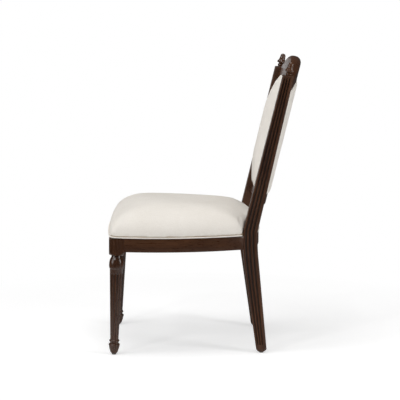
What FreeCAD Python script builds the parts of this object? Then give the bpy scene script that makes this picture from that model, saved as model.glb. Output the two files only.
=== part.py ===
import FreeCAD, Part
import math
import os

# Side chair: turned and fluted front legs, bent rear posts that carry the back,
# an arched crest rail, and an upholstered seat and back.
# Millimetres, +Z up, sitter's left is +X, the back is towards +Y.
# Plan lengths along Y are first measured from the plane of the front leg blocks,
# and the whole chair is then set with its footprint centred on the origin.

V = FreeCAD.Vector
PART_FOLDER = "parts"

# Seat frame
rail_top = 409.0
rail_height = 46.0
rail_thick = 25.0
leg_block = 52.0
block_half_spacing = 238.0
block_front = -19.0
side_rail_bow = 28.0
front_rail_bow = 8.0
rear_rail_bow = 17.0
rear_rail_inset = 5.0
tenon_thick = 12.0
tenon_height = 30.0
tenon_length = 18.0
rail_reveal = 0.5

# Rear posts
post_front = 442.0
post_depth = 50.5
post_width = 38.0
rear_taper = 47.0
post_half_spacing = block_half_spacing - rear_taper
kink_rise = 17.0
kink_height = rail_top + kink_rise
kink_soft = 10.0
front_bend_drop = 26.0
front_bend_top = kink_height - front_bend_drop
front_bend_run = 130.0
front_bend_low = front_bend_top - front_bend_run
front_leg_slope = 0.149
rear_bend_drop = 34.0
rear_bend_top = kink_height - rear_bend_drop
rear_bend_run = 57.0
rear_bend_low = rear_bend_top - rear_bend_run
rear_leg_slope = 0.0965
foot_splay = 18.0
foot_half_spacing = post_half_spacing + foot_splay
foot_width = 33.0
foot_chamfer = 6.0
foot_chamfer_height = 8.0
post_rise = 540.0
post_top = kink_height + post_rise
top_splay = 30.0
top_half_spacing = post_half_spacing + top_splay
top_width = 34.0
top_depth = 38.7
back_rake = 13.5
post_edge_round = 3.0
post_rear_round = 8.0
post_flutes = 3
post_flute_depth = 2.6
post_flute_land = 1.6
post_flute_margin = 5.0
flute_stop_low = 26.0
flute_stop_drop = 6.0
flute_stop_top = post_top - flute_stop_drop
flute_fade = 8.0
flute_steps = 4
leg_flute_steps = 3

# Front legs
leg_lean = 1.74
block_shoulder = 14.0
neck_drop = 15.0
neck_height = rail_top - rail_height - neck_drop
neck_radius = 17.0
dome_cap = 11.0
dome_top_height = neck_height - dome_cap
dome_top_radius = 21.7
dome_upper = 21.0
dome_height = dome_top_height - dome_upper
dome_radius = 25.2
dome_lower = 16.0
waist_height = dome_height - dome_lower
waist_radius = 22.3
toe_low_height = 13.0
toe_low_radius = 13.4
toe_rise = 23.0
toe_widest_height = toe_low_height + toe_rise
toe_radius = 19.4
toe_shoulder = 5.0
ring_rise = 13.0
ring_height = toe_widest_height + ring_rise
ring_radius = 17.8
ring_half = 3.6
ring_neck_radius = 15.4
shaft_rise = 8.0
shaft_low_height = ring_height + shaft_rise
shaft_low_radius = 14.4
leg_flutes = 12
flute_low_margin = 9.0
leg_flute_low = shaft_low_height + flute_low_margin
flute_high_margin = 12.0
leg_flute_high = waist_height - flute_high_margin
leg_flute_depth_low = 1.5
leg_flute_depth_high = 2.4
leg_flute_scoop = 6.0
turned_sides = 24

# Glides
glide_height = 5.0
glide_radius = 7.6
glide_pin_radius = 1.5
glide_pin_length = 14.0
glide_sides = 16

# Finials
finial_height = 47.0
finial_ring_radius = 11.5
finial_ring_height = 5.5
finial_neck_radius = 7.6
finial_neck_height = 11.0
finial_bell_radius = 15.4
finial_bell_height = 16.0
finial_waist_radius = 8.4
finial_waist_height = 33.0
finial_tip_radius = 7.4
finial_lobes = 8
finial_lobe_depth = 1.6
finial_lip = 3.0
finial_bell_shares = ((0.0, 1.0), (0.14, 0.9), (0.36, 0.48), (0.64, 0.17), (1.0, 0.0))
finial_bed = 4.0
finial_pin_radius = 5.0
finial_pin_length = 24.0

# Back, measured along the rake from the bend of the posts and square to it
crest_peak = 79.0
crest_top = post_rise + crest_peak
crest_depth = 74.0
crest_bottom = crest_top - crest_depth
crest_arch_rise = 75.0
crest_bottom_rise = 40.0
crest_round_mid = 18.0
crest_round_end = 10.0
back_front_mid = 24.0
back_front_bow = 8.0
back_rear_mid = 66.0
back_rear_bow = 26.0
lower_rail_low = 93.0
lower_rail_high = 131.0
lower_rail_round = 4.0
back_panel_thick = 9.0
back_tenon_thick = 10.0
back_tenon_length = 16.0
back_tenon_set = 12.0
back_tenon_shoulder = 6.0
back_stations = 16
round_steps = 3
past_post_share = 1.04

# Upholstery
fit_gap = 0.3
cover_thick = 1.6
seat_overhang = 2.0
seat_corner = 34.0
seat_rise = 96.0
seat_crown_reach = 178.0
seat_crown_power = 2.26
seat_rear_slope = 0.021
seat_slope_start = 227.0
seat_level_shares = (0.0, 0.012, 0.04, 0.09, 0.17, 0.3, 0.48, 0.7, 0.94)
seat_inner_shares = (0.0, 0.02, 0.09, 0.25, 0.5, 0.94)
seat_side_steps = 8
seat_end_steps = 5
seat_corner_steps = 4
deck_thick = 10.0
deck_inset = 7.5
welt_radius = 3.0
welt_sides = 8
dust_cover_thick = 0.8
dust_cover_inset = 11.0
back_pad_edge = 4.0
back_pad_rise = 33.0
back_pad_reach = 150.0
back_pad_corner = 14.0
back_pad_level_shares = (0.0, 0.08, 0.2, 0.36, 0.54, 0.75, 0.98)
back_pad_inner_shares = (0.0, 0.15, 0.4, 0.7, 0.98)
back_pad_arch_steps = 7
back_pad_corner_steps = 3
outside_back_mid = 73.5
outside_back_round = 7.0

# Corner blocks and screws
corner_block_height = 34.0
corner_block_reach = 78.0
corner_block_drop = 2.0
screw_radius = 2.2
screw_head_radius = 4.4
screw_head_height = 2.6
screw_sides = 12
screw_bite = 8.0
seat_screw_inset = 22.0

overrun = 60.0


def flat(points):
    return Part.Face(Part.makePolygon(points + points[:1]))


def skin(rings):
    # Every cell between two rings of as many points each is two flat triangles
    faces = []
    for low, high in zip(rings, rings[1:]):
        for k in range(len(low)):
            a, b = low[k - 1], low[k]
            c, d = high[k], high[k - 1]
            if (a - c).Length < (b - d).Length:
                faces += [flat([a, b, c]), flat([a, c, d])]
            else:
                faces += [flat([a, b, d]), flat([b, c, d])]
    return faces


def solid_of(faces):
    shell = Part.Shell(faces)
    shell.sewShape()
    solid = Part.Solid(shell)
    if solid.Volume < 0:
        solid.reverse()
    return solid.removeSplitter()


def faceted_loft(rings):
    return solid_of(skin(rings) + [flat(rings[0]), flat(rings[-1])])


def hollow_loft(rings):
    # The last ring lies on the first, so that the skin closes on itself
    return solid_of(skin(rings[:-1] + rings[:1]))


def ring(radii, z):
    # A level outline round the Z axis, one radius for each of its corners
    step = 2 * math.pi / len(radii)
    return [V(radius * math.cos(k * step), radius * math.sin(k * step), z) for k, radius in enumerate(radii)]


def turned(stations, sides):
    return faceted_loft([ring([radius] * sides, z) for z, radius in stations])


def arc_stations(low, middle, high, steps):
    # Heights and radii along the arc through three of them
    arc = Part.Arc(V(low[1], 0, low[0]), V(middle[1], 0, middle[0]), V(high[1], 0, high[0]))
    return [(point.z, point.x) for point in arc.discretize(steps + 1)]


def arc_about(centre, start, end, steps):
    # Points from start to end round a centre, all level pairs
    first = math.atan2(start[1] - centre[1], start[0] - centre[0])
    last = math.atan2(end[1] - centre[1], end[0] - centre[0])
    radius = math.hypot(start[0] - centre[0], start[1] - centre[1])
    turns = [first + (last - first) * k / steps for k in range(steps + 1)]
    return [(centre[0] + radius * math.cos(turn), centre[1] + radius * math.sin(turn)) for turn in turns]


def towards(start, end, distance):
    length = math.hypot(end[0] - start[0], end[1] - start[1])
    share = distance / length
    return (start[0] + (end[0] - start[0]) * share, start[1] + (end[1] - start[1]) * share)


def both_halves(half):
    # From the middle of one end round to the middle of the other, and back on the mirrored side
    return half + [(-x, y) for x, y in reversed(half[1:-1])]


def rounded(corners, radii):
    # A closed outline whose corners have their own radii, in short chords; zero leaves a corner sharp
    points = []
    for k, corner in enumerate(corners):
        if radii[k] == 0:
            points.append(corner)
            continue
        before = (corners[k - 1] - corner).normalize()
        after = (corners[(k + 1) % len(corners)] - corner).normalize()
        half = before.getAngle(after) / 2
        centre = corner + (before + after).normalize() * (radii[k] / math.sin(half))
        start = corner + before * (radii[k] / math.tan(half)) - centre
        end = corner + after * (radii[k] / math.tan(half)) - centre
        turn = math.pi - 2 * half
        for step in range(round_steps + 1):
            share = step / round_steps
            lead = start * math.sin((1 - share) * turn) + end * math.sin(share * turn)
            points.append(centre + lead * (1 / math.sin(turn)))
    return points


def grown_box(low, high, gap):
    return box_between(low - V(gap, gap, gap), high + V(gap, gap, gap))


def largest(shape):
    return max(shape.Solids, key=lambda solid: solid.Volume)


def bow_radius(half_span, bow):
    return (half_span ** 2 + bow ** 2) / (2 * bow)


def fall(x, half_span, bow):
    # How far a bow has dropped from its middle at x; it drops by its full depth at the half span
    if bow == 0:
        return 0
    radius = bow_radius(half_span, bow)
    return radius - math.sqrt(radius ** 2 - x ** 2)


def upright_cylinder(radius, x, y, low, high):
    return Part.makeCylinder(radius, high - low, V(x, y, low))


def box_between(low, high):
    return Part.makeBox(high.x - low.x, high.y - low.y, high.z - low.z, low)


def mirrored(shape):
    return shape.mirror(V(0, 0, 0), V(1, 0, 0))


def fuse_all(shapes):
    return shapes[0].multiFuse(shapes[1:]).removeSplitter()


# Rear posts: leg and stile in one piece, bent at the seat
def edge_offset(z, bend_low, bend_top, slope, rake):
    if z >= kink_height:
        return rake * (z - kink_height)
    if z >= bend_top:
        return 0
    if z >= bend_low:
        return slope * (bend_top - z) ** 2 / (2 * (bend_top - bend_low))
    return slope * ((bend_top - bend_low) / 2 + bend_low - z)


def post_front_at(z):
    rake = math.tan(math.radians(back_rake))
    return post_front + edge_offset(z, front_bend_low, front_bend_top, front_leg_slope, rake)


def post_rear_at(z):
    rise = post_top - kink_height
    rake = math.tan(math.radians(back_rake)) + (top_depth - post_depth) / rise
    start = post_front + post_depth
    return start + edge_offset(z, rear_bend_low, rear_bend_top, rear_leg_slope, rake)


def between(z, at_foot, at_kink, at_top):
    if z < kink_height:
        return at_foot + (at_kink - at_foot) * z / kink_height
    return at_kink + (at_top - at_kink) * (z - kink_height) / (post_top - kink_height)


def post_middle_at(z):
    return between(z, foot_half_spacing, post_half_spacing, top_half_spacing)


def post_width_at(z):
    return between(z, foot_width, post_width, top_width)


def flute_depth_at(z):
    ramp = min(z - flute_stop_low, flute_stop_top - z) / flute_fade
    return post_flute_depth * max(0, min(1, ramp))


def post_section(z, shrink):
    inner = post_middle_at(z) - post_width_at(z) / 2 + shrink
    outer = post_middle_at(z) + post_width_at(z) / 2 - shrink
    front = post_front_at(z) + shrink
    rear = post_rear_at(z) - shrink
    corners = [V(outer, rear, z), V(inner, rear, z), V(inner, front, z), V(outer, front, z)]
    points = rounded(corners, (post_rear_round, post_edge_round, post_edge_round, post_edge_round))
    start = front + post_flute_margin
    pitch = (rear - post_rear_round - start) / post_flutes
    for k in range(post_flutes):
        for step in range(flute_steps + 1):
            share = step / flute_steps
            dip = 4 * share * (1 - share) * flute_depth_at(z)
            y = start + k * pitch + (pitch - post_flute_land) * share
            points.append(V(outer - dip, y, z))
    return points


def steps(low, high, count):
    return [low + (high - low) * k / count for k in range(count)]


def post_levels():
    foot = glide_height + foot_chamfer_height
    levels = [foot, flute_stop_low, flute_stop_low + flute_fade]
    levels += steps(front_bend_low, front_bend_top, 4)
    levels += [front_bend_top, kink_height - kink_soft, kink_height + kink_soft]
    levels += [flute_stop_top - flute_fade, flute_stop_top, post_top]
    return levels


def post_blank():
    foot = glide_height + foot_chamfer_height
    cut_end = [point - V(0, 0, foot_chamfer_height) for point in post_section(foot, foot_chamfer)]
    return faceted_loft([cut_end] + [post_section(z, 0) for z in post_levels()])


def rear_post(blank):
    # Mortised for the seat rails and for both rails of the back, and bored for its pins
    cuts = [side_rear_tenon(fit_gap), rear_tenon(fit_gap), crest_tenon(fit_gap), lower_tenon(fit_gap)]
    base, axis = finial_pose()
    pin = turned([(-finial_pin_length - fit_gap, finial_pin_radius + fit_gap),
                  (finial_pin_length, finial_pin_radius + fit_gap)], 3 * finial_lobes)
    cuts.append(placed(pin, base, axis))
    cuts.append(glide_pin(rear_foot(), fit_gap))
    return blank.cut(cuts)


def post_notch(gap):
    # Room that the posts need in the seat: everything behind and outside their near faces
    rings = []
    for z in (rail_top - rail_height - overrun, front_bend_top, kink_height, kink_height + 3 * overrun):
        inner = post_middle_at(z) - post_width_at(z) / 2 - gap
        front = post_front_at(z) - gap
        rings.append([V(inner, front, z), V(inner + 3 * overrun, front, z),
                      V(inner + 3 * overrun, front + 3 * overrun, z), V(inner, front + 3 * overrun, z)])
    return faceted_loft(rings)


# The raked frame of the back: local Y is square to the rake, local Z is along it
def to_back(shape):
    shape.rotate(V(0, 0, 0), V(1, 0, 0), -back_rake)
    shape.translate(V(0, post_front, kink_height))
    return shape


def back_half_span():
    return top_half_spacing - top_width / 2


def post_inner_in_back(n, s):
    # The posts splay, so the room between them grows with the height
    rake = math.radians(back_rake)
    rise = s * math.cos(rake) - n * math.sin(rake)
    low = post_half_spacing - post_width / 2
    return low + (back_half_span() - low) * rise / (post_top - kink_height)


# Front legs: a square block over a turned and fluted stem
def leg_axis_y():
    return block_front + leg_block / 2


def rail_bottom():
    return rail_top - rail_height


def foot_stations():
    toe_top = toe_widest_height + toe_shoulder
    toe_side = toe_widest_height - toe_shoulder
    ring_low = ring_height - ring_half
    ring_high = ring_height + ring_half
    stations = [(0, glide_radius), (glide_height, glide_radius), (toe_low_height, toe_low_radius)]
    stations += arc_stations((toe_side, toe_radius), (toe_widest_height, toe_radius),
                             (toe_top, ring_neck_radius), 3)
    stations += arc_stations((ring_low, ring_neck_radius), (ring_height, ring_radius),
                             (ring_high, shaft_low_radius), 4)
    return stations + [(shaft_low_height, shaft_low_radius)]


def dome_stations():
    dome_low = (waist_height + dome_height) / 2
    dome_low_radius = waist_radius + (dome_radius - waist_radius) * 0.8
    stations = [(waist_height, waist_radius)]
    stations += arc_stations((dome_low, dome_low_radius), (dome_height, dome_radius),
                             (dome_top_height, dome_top_radius), 4)
    return stations + [(neck_height, neck_radius), (rail_bottom() + block_shoulder, neck_radius)]


def shaft_radius_at(z):
    share = (z - shaft_low_height) / (waist_height - shaft_low_height)
    return shaft_low_radius + (waist_radius - shaft_low_radius) * share


def fluted_radii(z, hollow):
    # Hollows with narrow lands between them
    along = (z - leg_flute_low) / (leg_flute_high - leg_flute_low)
    depth = hollow * (leg_flute_depth_low + (leg_flute_depth_high - leg_flute_depth_low) * along)
    radii = []
    for part in range(leg_flute_steps + 1):
        across = 2 * part / leg_flute_steps - 1
        radii.append(shaft_radius_at(z) - depth * (1 - across ** 2))
    return radii * leg_flutes


def turned_stem():
    shares = ((leg_flute_low, 0), (leg_flute_low + leg_flute_scoop, 1),
              (leg_flute_high - leg_flute_scoop, 1), (leg_flute_high, 0))
    shaft = faceted_loft([ring(fluted_radii(z, hollow), z) for z, hollow in shares])
    foot = turned(foot_stations() + [(leg_flute_low, shaft_radius_at(leg_flute_low))], turned_sides)
    dome = turned([(leg_flute_high, shaft_radius_at(leg_flute_high))] + dome_stations(), turned_sides)
    return fuse_all([foot, shaft, dome])


def block_with_shoulder():
    # The square block rounds in to the neck at its foot
    half = leg_block / 2
    blank = box_between(V(-half, -half, neck_height), V(half, half, rail_top))
    corner = half * math.sqrt(2)
    start = rail_bottom() + block_shoulder / 2
    middle = ((neck_height + start) / 2 - rail_reveal, (neck_radius + corner) / 2)
    stations = arc_stations((neck_height, neck_radius), middle, (start, corner), 3)
    return blank.common(turned(stations + [(rail_top, corner + rail_reveal)], turned_sides))


def front_leg():
    stem = turned_stem()
    stem.rotate(V(0, 0, rail_bottom()), V(1, 0, 0), -leg_lean)
    stem = stem.cut(box_between(V(-overrun, -overrun, -overrun), V(overrun, overrun, glide_height)))
    leg = stem.fuse(block_with_shoulder()).removeSplitter()
    leg.translate(V(block_half_spacing, leg_axis_y(), 0))
    return leg.cut([side_front_tenon(fit_gap), front_tenon(fit_gap), glide_pin(front_foot(), fit_gap)])


# Glides, each driven in with its own pin
def front_foot():
    lean = math.tan(math.radians(leg_lean)) * (rail_bottom() - glide_height)
    return V(block_half_spacing, leg_axis_y() - lean, 0)


def rear_foot():
    z = glide_height + foot_chamfer_height
    return V(post_middle_at(z), (post_front_at(z) + post_rear_at(z)) / 2, 0)


def glide_pin(foot, gap):
    top = glide_height + glide_pin_length + gap
    pin = turned([(glide_height / 2, glide_pin_radius + gap), (top, glide_pin_radius + gap)], glide_sides)
    pin.translate(foot)
    return pin


def foot_glides():
    glides = []
    for foot in (front_foot(), rear_foot()):
        disc = turned([(0, glide_radius), (glide_height, glide_radius)], glide_sides)
        disc.translate(foot)
        glide = disc.fuse(glide_pin(foot, 0)).removeSplitter()
        glides += [glide, mirrored(glide)]
    return Part.makeCompound(glides)


# Seat rails
def side_circle():
    start = V(block_half_spacing + leg_block / 2 - rail_reveal, block_front + leg_block, 0)
    end_x = post_half_spacing + post_width / 2 + rail_reveal
    end = V(end_x, post_front, 0)
    run = end - start
    middle = (start + end) * 0.5
    out = V(run.y, -run.x, 0)
    out.normalize()
    radius = bow_radius(run.Length / 2, side_rail_bow)
    centre = middle - out * (radius - side_rail_bow)
    return centre, radius


def front_circle():
    half = block_half_spacing - leg_block / 2
    radius = bow_radius(half, front_rail_bow)
    return V(0, block_front - front_rail_bow + radius, 0), radius


def rear_circle():
    half = post_half_spacing - post_width / 2
    radius = bow_radius(half, rear_rail_bow)
    rear = post_front + post_depth - rear_rail_inset + rear_rail_bow
    return V(0, rear - radius, 0), radius


def curved_rail(circle, low, high):
    centre, radius = circle
    outside = upright_cylinder(radius, centre.x, centre.y, rail_bottom(), rail_top)
    inside = upright_cylinder(radius - rail_thick, centre.x, centre.y,
                              rail_bottom() - overrun, rail_top + overrun)
    return outside.cut(inside).common(box_between(low, high))


# Tenons of the seat rails; with a gap they are the mortises that take them
def rail_tenon(x_low, x_high, y_low, y_high, gap):
    middle = rail_top - rail_height / 2
    half = tenon_height / 2
    return grown_box(V(x_low, y_low, middle - half), V(x_high, y_high, middle + half), gap)


def side_front_tenon(gap):
    outer = block_half_spacing + leg_block / 2 - tenon_thick / 2
    block_rear = block_front + leg_block
    return rail_tenon(outer - tenon_thick, outer, block_rear - tenon_length, block_rear + rail_reveal, gap)


def side_rear_tenon(gap):
    middle = post_half_spacing + tenon_thick / 4
    return rail_tenon(middle - tenon_thick / 2, middle + tenon_thick / 2,
                      post_front - tenon_thick, post_front + tenon_length, gap)


def front_tenon(gap):
    inner = block_half_spacing - leg_block / 2
    middle = block_front + rail_thick / 2
    return rail_tenon(inner - rail_reveal, inner + tenon_length,
                      middle - tenon_thick / 2, middle + tenon_thick / 2, gap)


def rear_tenon(gap):
    inner = post_half_spacing - post_width / 2
    middle = post_front + post_depth - rear_rail_inset - rail_thick / 2
    return rail_tenon(inner - tenon_thick, inner + tenon_length,
                      middle - tenon_thick / 2, middle + tenon_thick / 2, gap)


def side_rail(post):
    block_rear = block_front + leg_block
    low = V(0, block_rear, rail_bottom())
    high = V(block_half_spacing + leg_block + side_rail_bow, post_front + post_depth / 2, rail_top)
    rail = largest(curved_rail(side_circle(), low, high).cut(post))
    return fuse_all([rail, side_front_tenon(0), side_rear_tenon(0)])


def front_rail():
    inner = block_half_spacing - leg_block / 2
    low = V(-inner, block_front - overrun, rail_bottom())
    high = V(inner, block_front + overrun, rail_top)
    rail = curved_rail(front_circle(), low, high)
    return fuse_all([rail, front_tenon(0), mirrored(front_tenon(0))])


def rear_rail(posts):
    inner = post_half_spacing
    rear = post_front + post_depth
    low = V(-inner, rear - overrun, rail_bottom())
    high = V(inner, rear + overrun, rail_top)
    rail = largest(curved_rail(rear_circle(), low, high).cut(posts))
    return fuse_all([rail, rear_tenon(0), mirrored(rear_tenon(0))])


# Corner blocks, glued in behind each leg
def corner_block(points, neighbours):
    top = rail_top - corner_block_drop
    ring = [V(x, y, top - corner_block_height) for x, y in points]
    face = Part.Face(Part.makePolygon(ring + ring[:1]))
    block = largest(face.extrude(V(0, 0, corner_block_height)).cut(neighbours))
    return block.cut(seat_screw_holes())


def front_block_points():
    corner_x = block_half_spacing + leg_block / 2
    corner_y = block_front
    reach = corner_block_reach + leg_block / 2
    return [(corner_x, corner_y), (corner_x - reach - rail_thick, corner_y),
            (corner_x - reach - rail_thick, corner_y + rail_thick + rail_reveal),
            (corner_x - rail_thick - rail_reveal, corner_y + reach + rail_thick),
            (corner_x, corner_y + reach + rail_thick)]


def rear_block_points():
    corner_x = post_half_spacing + post_width / 2
    corner_y = post_front + post_depth
    reach = corner_block_reach
    return [(corner_x, corner_y), (corner_x, post_front - reach / 2),
            (corner_x - rail_thick / 2, post_front - reach / 2),
            (corner_x - rail_thick - reach, corner_y - 2 * rail_thick),
            (corner_x - rail_thick - reach, corner_y)]


def placed(shape, base, direction):
    shape.Placement = FreeCAD.Placement(base, FreeCAD.Rotation(V(0, 0, 1), direction))
    return shape


def seat_screw_places():
    front_x = block_half_spacing - rail_thick - seat_screw_inset
    front_y = block_front + rail_thick + seat_screw_inset + leg_block / 2 - corner_block_drop
    rear_x = post_half_spacing - post_width / 2 - seat_screw_inset
    rear_y = post_front - seat_screw_inset / 2
    return [(front_x, front_y), (-front_x, front_y), (rear_x, rear_y), (-rear_x, rear_y)]


def seat_screw_low():
    return rail_top - corner_block_drop - corner_block_height


def seat_screws():
    # Up through the corner blocks into the deck, each with a flat head under its block
    low = seat_screw_low()
    top = deck_bottom() + screw_bite
    screws = []
    for x, y in seat_screw_places():
        head = turned([(low - screw_head_height, screw_head_radius), (low, screw_head_radius)], screw_sides)
        shank = turned([(low - screw_head_height / 2, screw_radius), (top, screw_radius)], screw_sides)
        screw = head.fuse(shank).removeSplitter()
        screw.translate(V(x, y, 0))
        screws.append(screw)
    return Part.makeCompound(screws)


def seat_screw_holes():
    top = deck_bottom() + screw_bite + fit_gap
    holes = []
    for x, y in seat_screw_places():
        hole = turned([(seat_screw_low() - overrun, screw_radius + fit_gap), (top, screw_radius + fit_gap)],
                      screw_sides)
        hole.translate(V(x, y, 0))
        holes.append(hole)
    return holes


# Back frame
def rake_point(t, n, s, gap):
    # The share t of the way from the middle to the near face of a post
    return V(t * (post_inner_in_back(n, s) - gap), n, s)


def back_section(t, front, rear, low, top, rounds, gap):
    # Each bound is its value at the middle and its bow, which it loses on the way to the posts
    x = t * back_half_span()
    bounds = (front, rear, low, top)
    n_front, n_rear, s_low, s_top = [mid - fall(x, back_half_span(), bow) for mid, bow in bounds]
    corners = [rake_point(t, n_front, s_low, gap), rake_point(t, n_front, s_top, gap),
               rake_point(t, n_rear, s_top, gap), rake_point(t, n_rear, s_low, gap)]
    share = min(1, abs(t))
    return rounded(corners, [mid + (end - mid) * share for mid, end in rounds])


def back_loft(reach, front, rear, low, top, rounds, gap):
    shares = [k * 2 / back_stations - 1 for k in range(back_stations + 1)]
    if reach > 1:
        shares = [-reach] + shares + [reach]
    return faceted_loft([back_section(t, front, rear, low, top, rounds, gap) for t in shares])


def crest_rail(posts):
    low = (crest_bottom, crest_bottom_rise)
    top = (crest_top, crest_arch_rise)
    round_top = (crest_round_mid, crest_round_end)
    rounds = ((0, 0), round_top, round_top, (0, 0))
    rail = back_loft(past_post_share, (back_front_mid, back_front_bow), (back_rear_mid, back_rear_bow),
                     low, top, rounds, 0)
    rail = largest(to_back(rail).cut(posts))
    return fuse_all([rail, crest_tenon(0), mirrored(crest_tenon(0))])


def lower_back_rail(posts):
    low_round = (lower_rail_round, lower_rail_round)
    rounds = (low_round, (0, 0), (0, 0), low_round)
    rail = back_loft(past_post_share, (back_front_mid, back_front_bow), (back_rear_mid, back_rear_bow),
                     (lower_rail_low, 0), (lower_rail_high, 0), rounds, 0)
    rail = largest(to_back(rail).cut(posts))
    return fuse_all([rail, lower_tenon(0), mirrored(lower_tenon(0))])


def back_tenon(low, high, gap):
    n = back_front_mid - back_front_bow + back_tenon_set
    joint = post_inner_in_back(n, (low + high) / 2)
    half = back_tenon_thick / 2
    inner = V(joint - back_tenon_length, n - half, low)
    outer = V(joint + back_tenon_length, n + half, high)
    return to_back(grown_box(inner, outer, gap))


def crest_tenon(gap):
    low = crest_bottom - crest_bottom_rise + back_tenon_shoulder
    high = crest_top - crest_arch_rise - crest_round_end
    return back_tenon(low, high, gap)


def lower_tenon(gap):
    return back_tenon(lower_rail_low + back_tenon_shoulder, lower_rail_high - back_tenon_shoulder, gap)


def back_panel():
    # A bent board between the rails, flush with their front faces
    front = (back_front_mid, back_front_bow)
    rear = (back_front_mid + back_panel_thick, back_front_bow)
    low = (lower_rail_high + fit_gap, 0)
    top = (crest_bottom - 2 * fit_gap, crest_bottom_rise)
    return to_back(back_loft(1, front, rear, low, top, ((0, 0),) * 4, fit_gap))


# Finials, turned, on the raked and splayed post tops
def bell_radii(radius):
    # Three corners to a lobe, the first of them in the valley beside it
    depth = finial_lobe_depth * radius / finial_bell_radius
    return [radius - depth, radius, radius] * finial_lobes


def finial_turning():
    # Pin, ring, neck, lobed bell and tip in one loft
    sides = 3 * finial_lobes
    foot_radius = finial_ring_radius * 0.8
    ring_low = finial_ring_height / 4
    ring_top = 2 * finial_ring_height - ring_low
    under_bell = finial_bell_height - finial_lip
    stations = [(-finial_pin_length, finial_pin_radius), (-finial_bed - rail_reveal, finial_pin_radius),
                (-finial_bed, foot_radius)]
    stations += arc_stations((ring_low, foot_radius), (finial_ring_height, finial_ring_radius),
                             (ring_top, finial_neck_radius), 4)
    stations += [(finial_neck_height, finial_neck_radius),
                 (under_bell - finial_lip / 2, finial_bell_radius - finial_lip - 2 * finial_lobe_depth)]
    rings = [ring([radius] * sides, z) for z, radius in stations]
    rings.append(ring(bell_radii(finial_bell_radius - finial_lip / 2), under_bell))
    for up, out in finial_bell_shares:
        z = finial_bell_height + (finial_waist_height - finial_bell_height) * up
        radius = finial_waist_radius + (finial_bell_radius - finial_waist_radius) * out
        rings.append(ring(bell_radii(radius), z))
    tip_low = finial_height - finial_tip_radius * 0.8
    for z, radius in ((tip_low, finial_tip_radius),
                      (finial_height - finial_tip_radius * 0.2, finial_tip_radius * 0.7),
                      (finial_height, finial_tip_radius * 0.1)):
        rings.append(ring([radius] * sides, z))
    return faceted_loft(rings)


def finial_pose():
    top_mid_y = (post_front_at(post_top) + post_rear_at(post_top)) / 2
    run = post_top - kink_height
    axis = V(top_half_spacing - post_half_spacing, math.tan(math.radians(back_rake)) * run, run)
    axis.normalize()
    return V(top_half_spacing, top_mid_y, post_top), axis


def finial():
    base, axis = finial_pose()
    piece = placed(finial_turning(), base, axis)
    # The ring beds on the level top of the post, and only the pin goes on down
    wide = finial_bell_radius + finial_pin_length
    below = box_between(base - V(wide, wide, wide), base + V(wide, wide, 0))
    pin = turned([(-2 * finial_pin_length, finial_pin_radius + fit_gap / 2),
                  (finial_pin_length / 2, finial_pin_radius + fit_gap / 2)], 3 * finial_lobes)
    return piece.cut(below.cut(placed(pin, base, axis)))


# Seat
def plan_circle(circle, inset):
    centre, radius = circle
    return (centre.x, centre.y), radius + seat_overhang - inset


def crossing(first, second):
    # Where two plan circles cross, on the sitter's left
    (ax, ay), a = first
    (bx, by), b = second
    gap = math.hypot(bx - ax, by - ay)
    along = (a ** 2 - b ** 2 + gap ** 2) / (2 * gap)
    aside = math.sqrt(a ** 2 - along ** 2)
    ux, uy = (bx - ax) / gap, (by - ay) / gap
    middle_x, middle_y = ax + ux * along, ay + uy * along
    return max((middle_x - uy * aside, middle_y + ux * aside), (middle_x + uy * aside, middle_y - ux * aside))


def seat_outline(inset, z):
    # Front, side and rear bows with a rounded corner between each two
    front, front_radius = plan_circle(front_circle(), inset)
    side, side_radius = plan_circle(side_circle(), inset)
    rear, rear_radius = plan_circle(rear_circle(), inset)
    front_corner = crossing((front, front_radius - seat_corner), (side, side_radius - seat_corner))
    rear_corner = crossing((rear, rear_radius - seat_corner), (side, side_radius - seat_corner))
    front_middle = (0, front[1] - front_radius)
    rear_middle = (0, rear[1] + rear_radius)
    joints = [towards(front, front_corner, front_radius), towards(side, front_corner, side_radius),
              towards(side, rear_corner, side_radius), towards(rear, rear_corner, rear_radius)]
    half = arc_about(front, front_middle, joints[0], seat_end_steps)
    half += arc_about(front_corner, joints[0], joints[1], seat_corner_steps)[1:]
    half += arc_about(side, joints[1], joints[2], seat_side_steps)[1:]
    half += arc_about(rear_corner, joints[2], joints[3], seat_corner_steps)[1:]
    half += arc_about(rear, joints[3], rear_middle, seat_end_steps)[1:]
    return [V(x, y, z) for x, y in both_halves(half)]


def deck_bottom():
    return rail_top + dust_cover_thick


def cover_bottom():
    return rail_top + 2 * welt_radius + 2 * fit_gap


def seat_form(inside, level_shares):
    # Stacked outlines that draw in towards the crown, each tipped a little to the rear
    base = cover_bottom() - inside
    rings = []
    for share in level_shares:
        height = seat_rise * (1 - (1 - share) ** seat_crown_power) ** (1 / seat_crown_power)
        outline = seat_outline(seat_crown_reach * share + inside, base + height)
        slope = seat_rear_slope * height / seat_rise
        rings.append([point - V(0, 0, (point.y - seat_slope_start) * slope) for point in outline])
    return faceted_loft(rings)


def seat_cover(notches):
    return seat_form(0, seat_level_shares).cut([seat_form(cover_thick, seat_inner_shares)] + notches)


def seat_foam(notches):
    wide = block_half_spacing + post_front + post_depth + overrun
    below = box_between(V(-wide, -wide, 0), V(wide, wide, deck_bottom() + deck_thick))
    return seat_form(cover_thick + fit_gap, seat_inner_shares).cut([below] + notches)


def seat_board(inset, low, high, notches):
    board = flat(seat_outline(inset, low)).extrude(V(0, 0, high - low))
    return board.cut(notches + seat_screw_holes())


def seat_welt(notches):
    rings = []
    for k in range(welt_sides + 1):
        turn = (k + 0.5) * 2 * math.pi / welt_sides
        inset = welt_radius / 2 - welt_radius * math.cos(turn)
        rings.append(seat_outline(inset, rail_top + fit_gap + welt_radius * (1 + math.sin(turn))))
    return hollow_loft(rings).cut(notches)


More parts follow.
